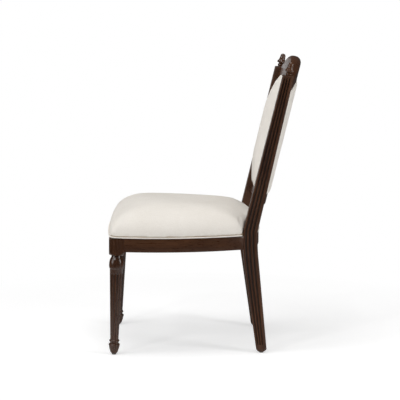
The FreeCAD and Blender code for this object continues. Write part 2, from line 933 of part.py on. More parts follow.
# Back upholstery
def back_outline(inset, n):
    # The outline of the pad at one depth: straight sides along the posts, and the arch of the crest rail's foot
    low = lower_rail_high + inset
    slope = (post_inner_in_back(0, overrun) - post_inner_in_back(0, 0)) / overrun
    steep = math.sqrt(1 + slope ** 2)
    start = post_inner_in_back(n, 0) - inset
    round_x = start - back_pad_corner * steep
    arch_radius = bow_radius(back_half_span(), crest_bottom_rise)
    arch_s = crest_bottom - fit_gap - arch_radius
    reach = arch_radius - inset - back_pad_corner
    low_centre = (round_x + slope * (low + back_pad_corner), low + back_pad_corner)
    half_b = round_x * slope - arch_s
    rest = round_x ** 2 + arch_s ** 2 - reach ** 2
    top_s = (math.sqrt(half_b ** 2 - steep ** 2 * rest) - half_b) / steep ** 2
    top_centre = (round_x + slope * top_s, top_s)
    aside = (back_pad_corner / steep, -back_pad_corner * slope / steep)
    low_joints = [(low_centre[0], low), (low_centre[0] + aside[0], low_centre[1] + aside[1])]
    top_joints = [(top_centre[0] + aside[0], top_centre[1] + aside[1]),
                  towards((0, arch_s), top_centre, arch_radius - inset)]
    half = [(0, low)] + arc_about(low_centre, low_joints[0], low_joints[1], back_pad_corner_steps)
    half += arc_about(top_centre, top_joints[0], top_joints[1], back_pad_corner_steps)
    half += arc_about((0, arch_s), top_joints[1], (0, arch_s + arch_radius - inset), back_pad_arch_steps)[1:]
    return [V(x, n, s) for x, s in both_halves(half)]


def back_pad_form(inside, level_shares):
    base = back_front_mid + back_panel_thick
    edge = back_front_mid - back_front_bow / 2 - back_pad_edge + inside
    rings = [back_outline(fit_gap + inside, base)]
    for share in level_shares:
        lift = back_pad_rise * math.sin(math.pi / 2 * share)
        rings.append(back_outline(back_pad_reach * share + fit_gap + inside, edge - lift))
    return faceted_loft(rings)


def behind_back_front():
    # All that lies behind the front faces of the rails of the back, and a fit gap before them
    front = (back_front_mid - fit_gap, back_front_bow)
    rear = (back_rear_mid + overrun, back_front_bow)
    return back_loft(past_post_share, front, rear, (0, 0), (crest_top + overrun, 0), ((0, 0),) * 4, 0)


def back_cover():
    outer = back_pad_form(0, back_pad_level_shares)
    return to_back(outer.cut([back_pad_form(cover_thick, back_pad_inner_shares), behind_back_front()]))


def back_foam():
    return to_back(back_pad_form(cover_thick + fit_gap, back_pad_inner_shares).cut(behind_back_front()))


def outside_back_form(inside, front_mid):
    low = lower_rail_high + fit_gap + inside
    top = crest_bottom - 2 * fit_gap - inside
    edge = (outside_back_round, outside_back_round)
    return back_loft(1, (front_mid, back_front_bow), (outside_back_mid - inside, back_rear_bow),
                     (low, 0), (top, crest_bottom_rise), ((0, 0), (0, 0), edge, edge), fit_gap + inside)


def outside_back_cover():
    behind_panel = back_front_mid + back_panel_thick + fit_gap
    outer = outside_back_form(0, behind_panel)
    return to_back(outer.cut(outside_back_form(cover_thick, back_front_mid)))


def outside_back_padding():
    return to_back(outside_back_form(cover_thick + fit_gap, back_front_mid + back_panel_thick + fit_gap))


def chair_pieces():
    pieces = {}

    def pair(name, left):
        pieces[name + "_left"] = left
        pieces[name + "_right"] = mirrored(left)

    blank = post_blank()
    posts = [blank, mirrored(blank)]
    leg = front_leg()
    side = side_rail(blank)
    front = front_rail()
    rear = rear_rail(posts)
    pair("rear_post", rear_post(blank))
    pair("front_leg", leg)
    pair("finial", finial())
    pair("side_rail", side)
    pieces["front_rail"] = front
    pieces["rear_rail"] = rear
    pair("corner_block_front", corner_block(front_block_points(), [leg, side, front]))
    pair("corner_block_rear", corner_block(rear_block_points(), [blank, side, rear]))
    pieces["seat_screws"] = seat_screws()
    pieces["foot_glides"] = foot_glides()
    pieces["crest_rail"] = crest_rail(posts)
    pieces["lower_back_rail"] = lower_back_rail(posts)
    pieces["back_panel"] = back_panel()

    notches = [post_notch(fit_gap), mirrored(post_notch(fit_gap))]
    pieces["seat_deck"] = seat_board(deck_inset, deck_bottom(), deck_bottom() + deck_thick, notches)
    pieces["seat_dust_cover"] = seat_board(dust_cover_inset, rail_top, deck_bottom(), notches)
    pieces["seat_foam"] = seat_foam(notches)
    pieces["seat_cover"] = seat_cover(notches)
    pieces["seat_welt"] = seat_welt(notches)
    pieces["back_foam"] = back_foam()
    pieces["back_cover"] = back_cover()
    pieces["outside_back_padding"] = outside_back_padding()
    pieces["outside_back_cover"] = outside_back_cover()
    return pieces


def export(pieces):
    os.makedirs(PART_FOLDER, exist_ok=True)
    ends = Part.makeCompound([pieces["seat_welt"], pieces["crest_rail"]]).optimalBoundingBox(False, False)
    middle = (ends.YMin + ends.YMax) / 2
    for name, shape in pieces.items():
        shape.translate(V(0, -middle, 0))
        shape.exportStep(PART_FOLDER + "/" + name + ".step")
        size = shape.BoundBox
        print(name, "solids", len(shape.Solids), "valid", shape.isValid(), "mm",
              round(size.XLength), round(size.YLength), round(size.ZLength))
    print("set back by", round(middle, 2))


export(chair_pieces())
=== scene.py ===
import math

import bmesh
import bpy
from mathutils import Matrix, Vector


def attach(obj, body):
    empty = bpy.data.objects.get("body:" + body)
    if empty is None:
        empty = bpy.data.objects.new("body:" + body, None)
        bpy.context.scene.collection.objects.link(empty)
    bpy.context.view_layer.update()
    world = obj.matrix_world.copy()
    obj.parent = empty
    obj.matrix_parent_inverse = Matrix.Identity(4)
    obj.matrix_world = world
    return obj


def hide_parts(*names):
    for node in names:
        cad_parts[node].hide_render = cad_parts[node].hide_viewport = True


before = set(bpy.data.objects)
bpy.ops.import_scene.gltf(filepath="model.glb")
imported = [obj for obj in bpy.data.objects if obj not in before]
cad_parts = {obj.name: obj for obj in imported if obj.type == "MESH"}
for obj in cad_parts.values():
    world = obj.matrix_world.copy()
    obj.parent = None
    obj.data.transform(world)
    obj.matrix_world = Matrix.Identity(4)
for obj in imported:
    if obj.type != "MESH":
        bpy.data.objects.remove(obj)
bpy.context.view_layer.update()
print("frame loaded:", len(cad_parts), "nodes")

# Side chair seen from the sitter's left. Metres, +Z up, the back is towards +Y.
setBack = 0.3081  # plan lengths along Y start at the front leg blocks, this far in front of the centre


# Handling

handling = {
    "startCircle": 0.1,     # any radius does, because its corners move to the first outline
    "weld": 0.00002,
    "flat": 0.3,            # degrees between faces that are joined into one
    "paintedFluteShade": (-0.6, 1.0),   # painted highlight on the ridges between flutes, and painted shade in their hollows
}


def deselectAll():
    if bpy.context.object and bpy.context.object.mode != "OBJECT":
        bpy.ops.object.mode_set(mode="OBJECT")
    bpy.ops.object.select_all(action="DESELECT")


def pick(piece):
    deselectAll()
    piece.select_set(True)
    bpy.context.view_layer.objects.active = piece


def applyModifier(piece, kind, **settings):
    pick(piece)
    bpy.ops.object.modifier_add(type=kind)
    modifier = piece.modifiers[-1]
    for name, value in settings.items():
        setattr(modifier, name, value)
    bpy.ops.object.modifier_apply(modifier=modifier.name)


def smoothShade(piece, degrees):
    pick(piece)
    bpy.ops.object.shade_smooth_by_angle(angle=math.radians(degrees))


def smoothAll(piece):
    pick(piece)
    bpy.ops.object.shade_smooth()


def placeRing(piece, outline):
    # the corners of the selected face go to their places, in order
    mesh = bmesh.from_edit_mesh(piece.data)
    face = next(face for face in mesh.faces if face.select)
    for loop, place in zip(face.loops, outline):
        loop.vert.co = place
    bmesh.update_edit_mesh(piece.data)


def stackRings(name, rings):
    # a filled circle becomes the first outline and is drawn out ring by ring into a closed skin
    deselectAll()
    bpy.ops.mesh.primitive_circle_add(vertices=len(rings[0]), radius=handling["startCircle"],
                                      fill_type="NGON")
    piece = bpy.context.active_object
    piece.name = name
    piece.data.name = name
    bpy.ops.object.mode_set(mode="EDIT")
    placeRing(piece, rings[0])
    for outline in rings[1:]:
        bpy.ops.mesh.extrude_region_move()
        placeRing(piece, outline)
    bpy.ops.mesh.select_all(action="SELECT")
    bpy.ops.mesh.normals_make_consistent(inside=False)
    bpy.ops.object.mode_set(mode="OBJECT")
    return piece


def mirroredCopy(piece, name):
    pick(piece)
    bpy.ops.object.duplicate()
    other = bpy.context.active_object
    other.name = name
    other.data.name = name
    bpy.ops.object.mode_set(mode="EDIT")
    bpy.ops.mesh.select_all(action="SELECT")
    bpy.ops.transform.resize(value=(-1, 1, 1), center_override=(0, 0, 0))
    bpy.ops.mesh.normals_make_consistent(inside=False)
    bpy.ops.object.mode_set(mode="OBJECT")
    return other


def mergedCopy(node, name):
    # a CAD node's own mesh, with its loose triangles joined up
    piece = bpy.data.objects.new(name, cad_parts[node].data.copy())
    bpy.context.scene.collection.objects.link(piece)
    piece.data.name = name
    piece.data.materials.clear()
    pick(piece)
    bpy.ops.object.mode_set(mode="EDIT")
    bpy.ops.mesh.select_all(action="SELECT")
    bpy.ops.mesh.remove_doubles(threshold=handling["weld"])
    bpy.ops.mesh.dissolve_limited(angle_limit=math.radians(handling["flat"]))
    bpy.ops.object.mode_set(mode="OBJECT")
    return piece


def addPaintedFluteShade(piece, hollowAt):
    # how deep each point lies in its flute, kept with the mesh for the painted shade in the hollows and the
    # painted highlight on the ridges
    ridge, hollow = handling["paintedFluteShade"]
    paintedFluteShade = piece.data.attributes.new("paintedFluteShade", "FLOAT", "POINT")
    for index, vertex in enumerate(piece.data.vertices):
        share, run = hollowAt(vertex.co)
        paintedFluteShade.data[index].value = (ridge + (hollow - ridge) * share) * run


def dress(piece, material, nodes):
    piece.data.materials.clear()
    piece.data.materials.append(material)
    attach(piece, "root")
    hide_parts(*nodes)


def dressPair(left, rightName, node, material, degrees):
    # the left piece and its mirror image take the places of both nodes
    smoothShade(left, degrees)
    right = mirroredCopy(left, rightName)
    dress(left, material, [node + "_left"])
    dress(right, material, [node + "_right"])


# Finishes

noiseSpan = (0.3, 0.7)  # nearly all of a noise lies between these


def startMaterial(name):
    material = bpy.data.materials.new(name)
    material.use_nodes = True
    tree = material.node_tree
    tree.nodes.clear()
    output = tree.nodes.new("ShaderNodeOutputMaterial")
    shader = tree.nodes.new("ShaderNodeBsdfPrincipled")
    tree.links.new(shader.outputs["BSDF"], output.inputs["Surface"])
    place = tree.nodes.new("ShaderNodeTexCoord")
    return material, tree, shader, place.outputs["Object"]


def feed(tree, value, socket):
    # a plain number is set on the socket, and anything else is linked to it
    if isinstance(value, (int, float)):
        socket.default_value = value
    else:
        tree.links.new(value, socket)


def mathNode(tree, operation, *values):
    node = tree.nodes.new("ShaderNodeMath")
    node.operation = operation
    for slot, value in enumerate(values):
        feed(tree, value, node.inputs[slot])
    return node.outputs["Value"]


def addShare(tree, first, second, share):
    return mathNode(tree, "MULTIPLY_ADD", second, share, first)


def mapRange(tree, value, source, target=(0.0, 1.0)):
    node = tree.nodes.new("ShaderNodeMapRange")
    node.inputs["From Min"].default_value, node.inputs["From Max"].default_value = source
    node.inputs["To Min"].default_value, node.inputs["To Max"].default_value = target
    tree.links.new(value, node.inputs["Value"])
    return node.outputs["Result"]


def grainScale(axis, across, share):
    # marks to the metre, fewer of them along one axis
    scale = [across, across, across]
    scale["XYZ".index(axis)] = across * share
    return scale


def stretchedNoise(tree, place, scale, detail, roughness, distortion=0.0):
    mapping = tree.nodes.new("ShaderNodeMapping")
    mapping.inputs["Scale"].default_value = scale
    noise = tree.nodes.new("ShaderNodeTexNoise")
    noise.inputs["Scale"].default_value = 1.0
    noise.inputs["Detail"].default_value = detail
    noise.inputs["Roughness"].default_value = roughness
    noise.inputs["Distortion"].default_value = distortion
    tree.links.new(place, mapping.inputs["Vector"])
    tree.links.new(mapping.outputs["Vector"], noise.inputs["Vector"])
    return noise.outputs["Fac"]


def ramp(tree, value, positions, colours):
    node = tree.nodes.new("ShaderNodeValToRGB")
    elements = node.color_ramp.elements
    while len(elements) < len(positions):
        elements.new(0.5)  # anywhere, because its position follows
    for element, position, colour in zip(elements, positions, colours):
        element.position = position
        element.color = (*colour, 1)
    tree.links.new(value, node.inputs["Fac"])
    return node.outputs["Color"]


def tint(tree, first, second, share):
    node = tree.nodes.new("ShaderNodeMix")
    node.data_type = "RGBA"
    node.blend_type = "MULTIPLY"
    node.inputs["Factor"].default_value = share
    tree.links.new(first, node.inputs[6])  # these sockets are the node's colours
    tree.links.new(second, node.inputs[7])
    return node.outputs[2]


def addBump(tree, shader, height, strength, distance):
    node = tree.nodes.new("ShaderNodeBump")
    node.inputs["Strength"].default_value = strength
    node.inputs["Distance"].default_value = distance
    tree.links.new(height, node.inputs["Height"])
    tree.links.new(node.outputs["Normal"], shader.inputs["Normal"])


darkWood = {
    "shades": ((0.032, 0.0105, 0.0034), (0.056, 0.0200, 0.0070), (0.088, 0.0340, 0.0125)),
    "stops": (0.48, 0.72, 1.0),
    "figure": 26.0,         # broad bands across the grain, to the metre
    "streaks": 234.0,
    "pores": 900.0,
    "along": 0.06,          # the share of all three that is left along the grain
    "streakShare": 0.55,
    "poreStops": (0.40, 0.52), "poreShades": ((0.55, 0.5, 0.48), (1, 1, 1)), "poreShare": 0.4,
    "paintedFluteShade": -0.55,         # how much the colour darkens as painted shade where the attribute puts a point deep in a flute; on the ridges it comes out lighter, as painted highlight
    "bump": (0.08, 0.0003), "streakBump": 0.8,
    "coatRoughness": 0.14,
    "turned": {"gloss": (0.24, 0.32), "specular": 0.5, "coat": 0.2},
    "posts": {"gloss": (0.40, 0.48), "specular": 0.42, "coat": 0.0},
    "rails": {"gloss": (0.26, 0.34), "specular": 0.42, "coat": 0.28},
}


def woodMaterial(name, along, kind):
    # stained hardwood, its grain along one axis, with painted shade darkening the flutes and painted
    # highlight lightening the ridges between them
    finish = darkWood[kind]
    material, tree, shader, place = startMaterial(name)
    figure, streak, pore = (grainScale(along, darkWood[mark], darkWood["along"])
                            for mark in ("figure", "streaks", "pores"))
    broad = stretchedNoise(tree, place, figure, detail=3, roughness=0.5, distortion=0.3)
    streaks = stretchedNoise(tree, place, streak, detail=3, roughness=0.65, distortion=0.3)
    pores = stretchedNoise(tree, place, pore, detail=2, roughness=0.5)
    grain = addShare(tree, broad, streaks, darkWood["streakShare"])
    colour = ramp(tree, grain, darkWood["stops"], darkWood["shades"])
    poreShade = ramp(tree, pores, darkWood["poreStops"], darkWood["poreShades"])
    # painted shade darkens the flutes' hollows and painted highlight lightens their ridges, after how deep
    # each point lies
    paintedShadeAttribute = tree.nodes.new("ShaderNodeAttribute")
    paintedShadeAttribute.attribute_name = "paintedFluteShade"
    shade = mathNode(tree, "MULTIPLY_ADD", paintedShadeAttribute.outputs["Fac"], darkWood["paintedFluteShade"], 1.0)
    paintedShadeScaled = tree.nodes.new("ShaderNodeVectorMath")
    paintedShadeScaled.operation = "SCALE"
    tree.links.new(tint(tree, colour, poreShade, darkWood["poreShare"]), paintedShadeScaled.inputs[0])
    tree.links.new(shade, paintedShadeScaled.inputs["Scale"])
    tree.links.new(paintedShadeScaled.outputs["Vector"], shader.inputs["Base Color"])
    tree.links.new(mapRange(tree, streaks, noiseSpan, finish["gloss"]), shader.inputs["Roughness"])
    shader.inputs["Specular IOR Level"].default_value = finish["specular"]
    shader.inputs["Coat Weight"].default_value = finish["coat"]
    shader.inputs["Coat Roughness"].default_value = darkWood["coatRoughness"]
    addBump(tree, shader, addShare(tree, pores, streaks, darkWood["streakBump"]), *darkWood["bump"])
    return material


linen = {
    "shades": ((0.770, 0.722, 0.658), (0.875, 0.840, 0.785)), "stops": (0.36, 0.62),
    "thread": (1500.0, 0.045),     # to the metre, and the share of that along a thread
    "slub": (450.0, 38 / 450), "slubShare": 0.9,
    "mottles": 9.0,
    "mottleStops": (0.3, 0.7), "mottleShades": ((0.94, 0.935, 0.925), (1, 1, 1)), "mottleShare": 0.8,
    "roughness": 0.92, "specular": 0.2, "sheen": 0.12, "sheenRoughness": 0.5,
    "bump": (0.5, 0.00022),
}


def linenMaterial(name):
    # threads run along all three axes, so that every face shows two crossing sets
    material, tree, shader, place = startMaterial(name)
    threads = None
    slubs = None
    for axis in "XYZ":
        thread = stretchedNoise(tree, place, grainScale(axis, *linen["thread"]), detail=1, roughness=0.4)
        slub = stretchedNoise(tree, place, grainScale(axis, *linen["slub"]), detail=2, roughness=0.5)
        threads = thread if threads is None else addShare(tree, threads, thread, 1.0)
        slubs = slub if slubs is None else addShare(tree, slubs, slub, 1.0)
    broad = stretchedNoise(tree, place, [linen["mottles"]] * 3, detail=3, roughness=0.5)
    weave = addShare(tree, threads, slubs, linen["slubShare"])
    mean = mathNode(tree, "MULTIPLY", weave, 1 / (3 * (1 + linen["slubShare"])))
    colour = ramp(tree, mean, linen["stops"], linen["shades"])
    mottle = ramp(tree, broad, linen["mottleStops"], linen["mottleShades"])
    tree.links.new(tint(tree, colour, mottle, linen["mottleShare"]), shader.inputs["Base Color"])
    shader.inputs["Roughness"].default_value = linen["roughness"]
    shader.inputs["Specular IOR Level"].default_value = linen["specular"]
    shader.inputs["Sheen Weight"].default_value = linen["sheen"]
    shader.inputs["Sheen Roughness"].default_value = linen["sheenRoughness"]
    addBump(tree, shader, weave, *linen["bump"])
    return material


boards = {
    "figure": 60.0, "along": 1 / 12, "stops": (0.32, 0.68), "roughness": (0.6, 0.75), "bump": (0.2, 0.0003),
    "block": ((0.36, 0.24, 0.13), (0.52, 0.37, 0.22)),
    "ply": ((0.36, 0.26, 0.16), (0.50, 0.38, 0.25)),
    # the back panel's board is darkened as painted shadow, so that its edge round the pad reads as a thin
    # shade line
    "panel": ((0.085, 0.060, 0.040), (0.150, 0.110, 0.075)),
}


def boardMaterial(name, along, kind):
    material, tree, shader, place = startMaterial(name)
    scale = grainScale(along, boards["figure"], boards["along"])
    grain = stretchedNoise(tree, place, scale, detail=4, roughness=0.6, distortion=0.8)
    tree.links.new(ramp(tree, grain, boards["stops"], boards[kind]), shader.inputs["Base Color"])
    tree.links.new(mapRange(tree, grain, noiseSpan, boards["roughness"]), shader.inputs["Roughness"])
    addBump(tree, shader, grain, *boards["bump"])
    return material


steel = {
    "wear": 400.0, "stops": (0.35, 0.65), "worn": 0.72, "bump": (0.1, 0.0001),
    "screw": {"colour": (0.62, 0.60, 0.55), "roughness": (0.3, 0.45)},
    "glide": {"colour": (0.24, 0.22, 0.20), "roughness": (0.35, 0.5)},
}


def steelMaterial(name, kind):
    finish = steel[kind]
    material, tree, shader, place = startMaterial(name)
    wear = stretchedNoise(tree, place, [steel["wear"]] * 3, detail=3, roughness=0.6)
    shades = (tuple(c * steel["worn"] for c in finish["colour"]), finish["colour"])
    tree.links.new(ramp(tree, wear, steel["stops"], shades), shader.inputs["Base Color"])
    tree.links.new(mapRange(tree, wear, noiseSpan, finish["roughness"]), shader.inputs["Roughness"])
    shader.inputs["Metallic"].default_value = 1.0
    addBump(tree, shader, wear, *steel["bump"])
    return material


nonWoven = {
    "fibres": 700.0, "dots": 160.0, "dotShare": 0.6, "stops": (0.6, 1.0),
    "shades": ((0.006, 0.006, 0.007), (0.028, 0.028, 0.030)),
    "roughness": 0.95, "bump": (0.4, 0.0002),
}


def nonWovenMaterial(name):
    material, tree, shader, place = startMaterial(name)
    fibres = stretchedNoise(tree, place, [nonWoven["fibres"]] * 3, detail=5, roughness=0.7)
    dots = stretchedNoise(tree, place, [nonWoven["dots"]] * 3, detail=1, roughness=0.4)
    both = addShare(tree, fibres, dots, nonWoven["dotShare"])
    tree.links.new(ramp(tree, both, nonWoven["stops"], nonWoven["shades"]), shader.inputs["Base Color"])
    shader.inputs["Roughness"].default_value = nonWoven["roughness"]
    addBump(tree, shader, fibres, *nonWoven["bump"])
    return material


woodPosts = woodMaterial("darkWoodPosts", "Z", "posts")
woodTurned = woodMaterial("darkWoodTurned", "Z", "turned")
woodAcross = woodMaterial("darkWoodAcross", "X", "rails")
woodDeep = woodMaterial("darkWoodDeep", "Y", "rails")
linenCloth = linenMaterial("oatLinen")
blockWood = boardMaterial("blockWood", "X", "block")
plyWood = boardMaterial("plyWood", "Y", "ply")
# the back panel's board, darkened as painted shadow round the back pad
shadowDarkPanelWood = boardMaterial("shadowDarkPanelWood", "Z", "panel")
screwSteel = steelMaterial("screwSteel", "screw")
glideSteel = steelMaterial("glideSteel", "glide")
dustCloth = nonWovenMaterial("dustCloth")
print("finishes made")


# Flutes and heights, as the posts and the legs use them

def runAt(z, stops):
    # 1 along a flute, falling to 0 where it stops at either end
    low, high, fade = stops
    return max(0.0, min(1.0, (z - low) / fade, (high - z) / fade))


def scooped(run):
    return math.sqrt(run * (2 - run))


def fluteShape(across, roundShare):
    # the depth at a share of the flute's half width: part of it round and the rest a parabola
    rest = max(0.0, 1 - across ** 2)
    return roundShare * math.sqrt(rest) + (1 - roundShare) * rest


def spaced(marks, counts):
    # heights from mark to mark, each stretch in its own number of even steps
    heights = []
    for low, high, count in zip(marks, marks[1:], counts):
        heights += [low + (high - low) * k / count for k in range(count)]
    return heights + [marks[-1]]


# Rear posts

rearPost = {
    "front": 0.442, "depth": 0.0505, "topDepth": 0.0387, "rake": 13.5,
    "foot": 0.013, "bottom": 0.005, "kink": 0.426, "soft": 0.010, "top": 0.966,
    # across the chair, at the floor, the bend and the top
    "middles": (0.209, 0.191, 0.221), "widths": (0.033, 0.038, 0.034),
    # below the seat: the low and high end of each face's curve, and its slope from there down
    "frontBend": (0.270, 0.400, 0.149), "rearBend": (0.335, 0.392, 0.0965),
    "edgeRound": 0.003, "rearRound": 0.008, "footChamfer": 0.006, "topEase": (0.0015, 0.0010),
    # stops are the low and high end of the flutes, and the run in which they fade out
    "flutes": 3, "fluteDepth": 0.0038, "land": 0.0020, "margin": 0.0045, "stops": (0.026, 0.960, 0.008),
    # the last two numbers bound where the flutes take painted shade and painted highlight
    "roundShare": 0.5, "paintedShadeEdge": 0.6, "paintedShadeReach": 1.5,
    "cornerSteps": (4, 6), "fluteSteps": 10, "levelSteps": (7, 5, 16, 6, 10, 7), "smooth": 32,
}


def raked(z, slope):
    # the bend at the seat is eased over a short height
    above = z - rearPost["kink"]
    if above > rearPost["soft"]:
        return slope * above
    if above < -rearPost["soft"]:
        return 0.0
    return slope * (above + rearPost["soft"]) ** 2 / (4 * rearPost["soft"])


def swept(z, bend):
    # the leg below the seat runs back in a curve and then straight
    low, top, slope = bend
    if z >= top:
        return 0.0
    if z >= low:
        return slope * (top - z) ** 2 / (2 * (top - low))
    return slope * ((top - low) / 2 + low - z)


def postBetween(z, values):
    foot, kink, top = values
    if z < rearPost["kink"]:
        return foot + (kink - foot) * z / rearPost["kink"]
    return kink + (top - kink) * (z - rearPost["kink"]) / (rearPost["top"] - rearPost["kink"])


def postFrontAt(z):
    slope = math.tan(math.radians(rearPost["rake"]))
    return rearPost["front"] + raked(z, slope) + swept(z, rearPost["frontBend"])


def postRearAt(z):
    taper = (rearPost["topDepth"] - rearPost["depth"]) / (rearPost["top"] - rearPost["kink"])
    slope = math.tan(math.radians(rearPost["rake"])) + taper
    return rearPost["front"] + rearPost["depth"] + raked(z, slope) + swept(z, rearPost["rearBend"])


def cornerArc(corner, before, after, radius, count):
    # a right-angled corner turned by an arc from one side to the other
    centre = corner + (before + after) * radius
    return [centre - after * radius * math.cos(turn) - before * radius * math.sin(turn)
            for turn in [k * math.pi / 2 / count for k in range(count + 1)]]


def postRing(z, shrink):
    middle = postBetween(z, rearPost["middles"])
    half = postBetween(z, rearPost["widths"]) / 2 - shrink
    front = postFrontAt(z) + shrink
    rear = postRearAt(z) - shrink
    edge, back = rearPost["edgeRound"], rearPost["rearRound"]
    edgeSteps, backSteps = rearPost["cornerSteps"]
    alongX, alongY = Vector((1, 0, 0)), Vector((0, 1, 0))
    points = cornerArc(Vector((middle + half, rear, z)), -alongY, -alongX, back, backSteps)
    points += cornerArc(Vector((middle - half, rear, z)), alongX, -alongY, edge, edgeSteps)
    points += cornerArc(Vector((middle - half, front, z)), alongY, alongX, edge, edgeSteps)
    points += cornerArc(Vector((middle + half, front, z)), -alongX, alongY, edge, edgeSteps)
    depth = rearPost["fluteDepth"] * scooped(runAt(z, rearPost["stops"]))
    start = front + rearPost["margin"]
    pitch = (rear - back - start) / rearPost["flutes"]
    for k in range(rearPost["flutes"]):
        for step in range(rearPost["fluteSteps"] + 1):
            across = 2 * step / rearPost["fluteSteps"] - 1
            dip = depth * fluteShape(across, rearPost["roundShare"])
            y = start + k * pitch + (pitch - rearPost["land"]) * (across + 1) / 2
            points.append(Vector((middle + half - dip, y, z)))
    return [point - Vector((0, setBack, 0)) for point in points]


def postHollow(point):
    # how deep a point lies in a flute and how far along the flute's run, for the painted shade and highlight
    front = postFrontAt(point.z) + rearPost["margin"] * rearPost["paintedShadeEdge"] - setBack
    rear = postRearAt(point.z) - rearPost["rearRound"] - setBack
    face = postBetween(point.z, rearPost["middles"]) + postBetween(point.z, rearPost["widths"]) / 2
    share = (face - point.x) / rearPost["fluteDepth"]
    if not front < point.y < rear or share > rearPost["paintedShadeReach"]:
        return 0.0, 0.0
    return min(1.0, max(0.0, share)), runAt(point.z, rearPost["stops"])


def makeRearPosts():
    low, high, fade = rearPost["stops"]
    foot, kink, soft, top = (rearPost[name] for name in ("foot", "kink", "soft", "top"))
    ease, easeIn = rearPost["topEase"]
    marks = (low, low + fade, rearPost["frontBend"][0], kink - soft, kink + soft, high - fade, high)
    levels = [foot] + spaced(marks, rearPost["levelSteps"]) + [top - ease]
    drop = Vector((0, 0, foot - rearPost["bottom"]))
    lift = Vector((0, 0, ease))
    rings = [[point - drop for point in postRing(foot, rearPost["footChamfer"])]]
    rings += [postRing(z, 0) for z in levels]
    rings.append([point + lift for point in postRing(top - ease, easeIn)])
    left = stackRings("rearPostLeft", rings)
    # painted shade in the flutes' hollows and painted highlight on their ridges
    addPaintedFluteShade(left, postHollow)
    dressPair(left, "rearPostRight", "rear_post", woodPosts, rearPost["smooth"])


makeRearPosts()
print("rear posts made")


# Front legs

frontLeg = {
    "x": 0.238, "y": 0.007, "lean": 1.74, "railBottom": 0.363, "top": 0.408,
    "half": 0.026, "eased": 0.0012, "shoulder": 0.007,
    "neck": (0.3485, 0.017), "shaft": (0.057, 0.0144, 0.300, 0.0223),   # heights, each with its radius
    "flutes": 12, "fluteRun": (0.066, 0.288, 0.007), "fluteDepth": (0.0020, 0.0030),
    # the second number is how strongly the legs' flutes take the painted shade and highlight
    "roundShare": 0.6, "paintedShadeShare": 0.6,
    "sides": 96, "fluteHalf": 3, "neckSteps": 12, "levelSteps": (6, 8, 6), "smooth": 34,
}
# heights and radii of the turning, from the floor up, where it isn't the shaft
legFoot = [
    (0.0045, 0.0082), (0.0050, 0.0100), (0.0062, 0.0114), (0.0082, 0.0126), (0.0130, 0.0142),
    (0.0220, 0.0168), (0.0310, 0.0188), (0.0335, 0.0193), (0.0355, 0.0194), (0.0372, 0.0188),
    (0.0386, 0.0172), (0.0394, 0.0150), (0.0402, 0.0146), (0.0446, 0.0148), (0.0454, 0.0162),
    (0.0474, 0.0175), (0.0490, 0.0178), (0.0506, 0.0174), (0.0519, 0.0163), (0.0526, 0.0148),
    (0.0570, 0.0144),
]
legDome = [
    (0.3000, 0.0223), (0.3015, 0.0226), (0.3035, 0.0237), (0.3060, 0.0245), (0.3090, 0.02495),
    (0.3125, 0.02518), (0.3160, 0.0252), (0.3200, 0.02505), (0.3240, 0.0247), (0.3280, 0.0241),
    (0.3320, 0.0232), (0.3355, 0.0222), (0.3380, 0.0208), (0.3410, 0.0190), (0.3440, 0.0178),
    (0.3480, 0.0170),
]


def legShaftRadius(z):
    low, lowRadius, high, highRadius = frontLeg["shaft"]
    return lowRadius + (highRadius - lowRadius) * (z - low) / (high - low)


def legFluteDepth(z):
    low, high, _ = frontLeg["fluteRun"]
    shallow, deep = frontLeg["fluteDepth"]
    return shallow + (deep - shallow) * (z - low) / (high - low)


def legRing(z, radii):
    # a ring about the leaning axis of the stem, which stands upright in the block
    below = max(0.0, frontLeg["railBottom"] - z)
    lean = math.radians(frontLeg["lean"]) if below else 0.0
    points = []
    for k, radius in enumerate(radii):
        turn = 2 * math.pi * (k + 0.5) / len(radii)
        x, y = radius * math.cos(turn), radius * math.sin(turn)
        ahead = frontLeg["y"] - setBack + y * math.cos(lean) - below * math.sin(lean)
        up = frontLeg["railBottom"] - below * math.cos(lean) - y * math.sin(lean) if below else z
        points.append(Vector((frontLeg["x"] + x, ahead, up)))
    return points


def flutedRadii(z):
    depth = legFluteDepth(z) * scooped(runAt(z, frontLeg["fluteRun"]))
    perFlute = frontLeg["sides"] // frontLeg["flutes"]
    radii = []
    for k in range(frontLeg["sides"]):
        across = (k % perFlute) / frontLeg["fluteHalf"] - 1
        radii.append(legShaftRadius(z) - depth * fluteShape(across, frontLeg["roundShare"]))
    return radii


def blockRadii(bell):
    # the smaller of the bell's radius and the square's, corner by corner
    corner = frontLeg["half"] * math.sqrt(2) - frontLeg["eased"]
    radii = []
    for k in range(frontLeg["sides"]):
        turn = 2 * math.pi * (k + 0.5) / frontLeg["sides"]
        square = frontLeg["half"] / max(abs(math.cos(turn)), abs(math.sin(turn)))
        radii.append(min(bell, square, corner))
    return radii


def legHollow(point):
    # how deep a point lies in a flute and how far along its run, for the painted shade and highlight
    below = frontLeg["railBottom"] - point.z
    axis = frontLeg["y"] - setBack - below * math.tan(math.radians(frontLeg["lean"]))
    out = math.hypot(point.x - frontLeg["x"], point.y - axis)
    share = (legShaftRadius(point.z) - out) / legFluteDepth(point.z)
    return max(0.0, min(1.0, share)), runAt(point.z, frontLeg["fluteRun"]) * frontLeg["paintedShadeShare"]


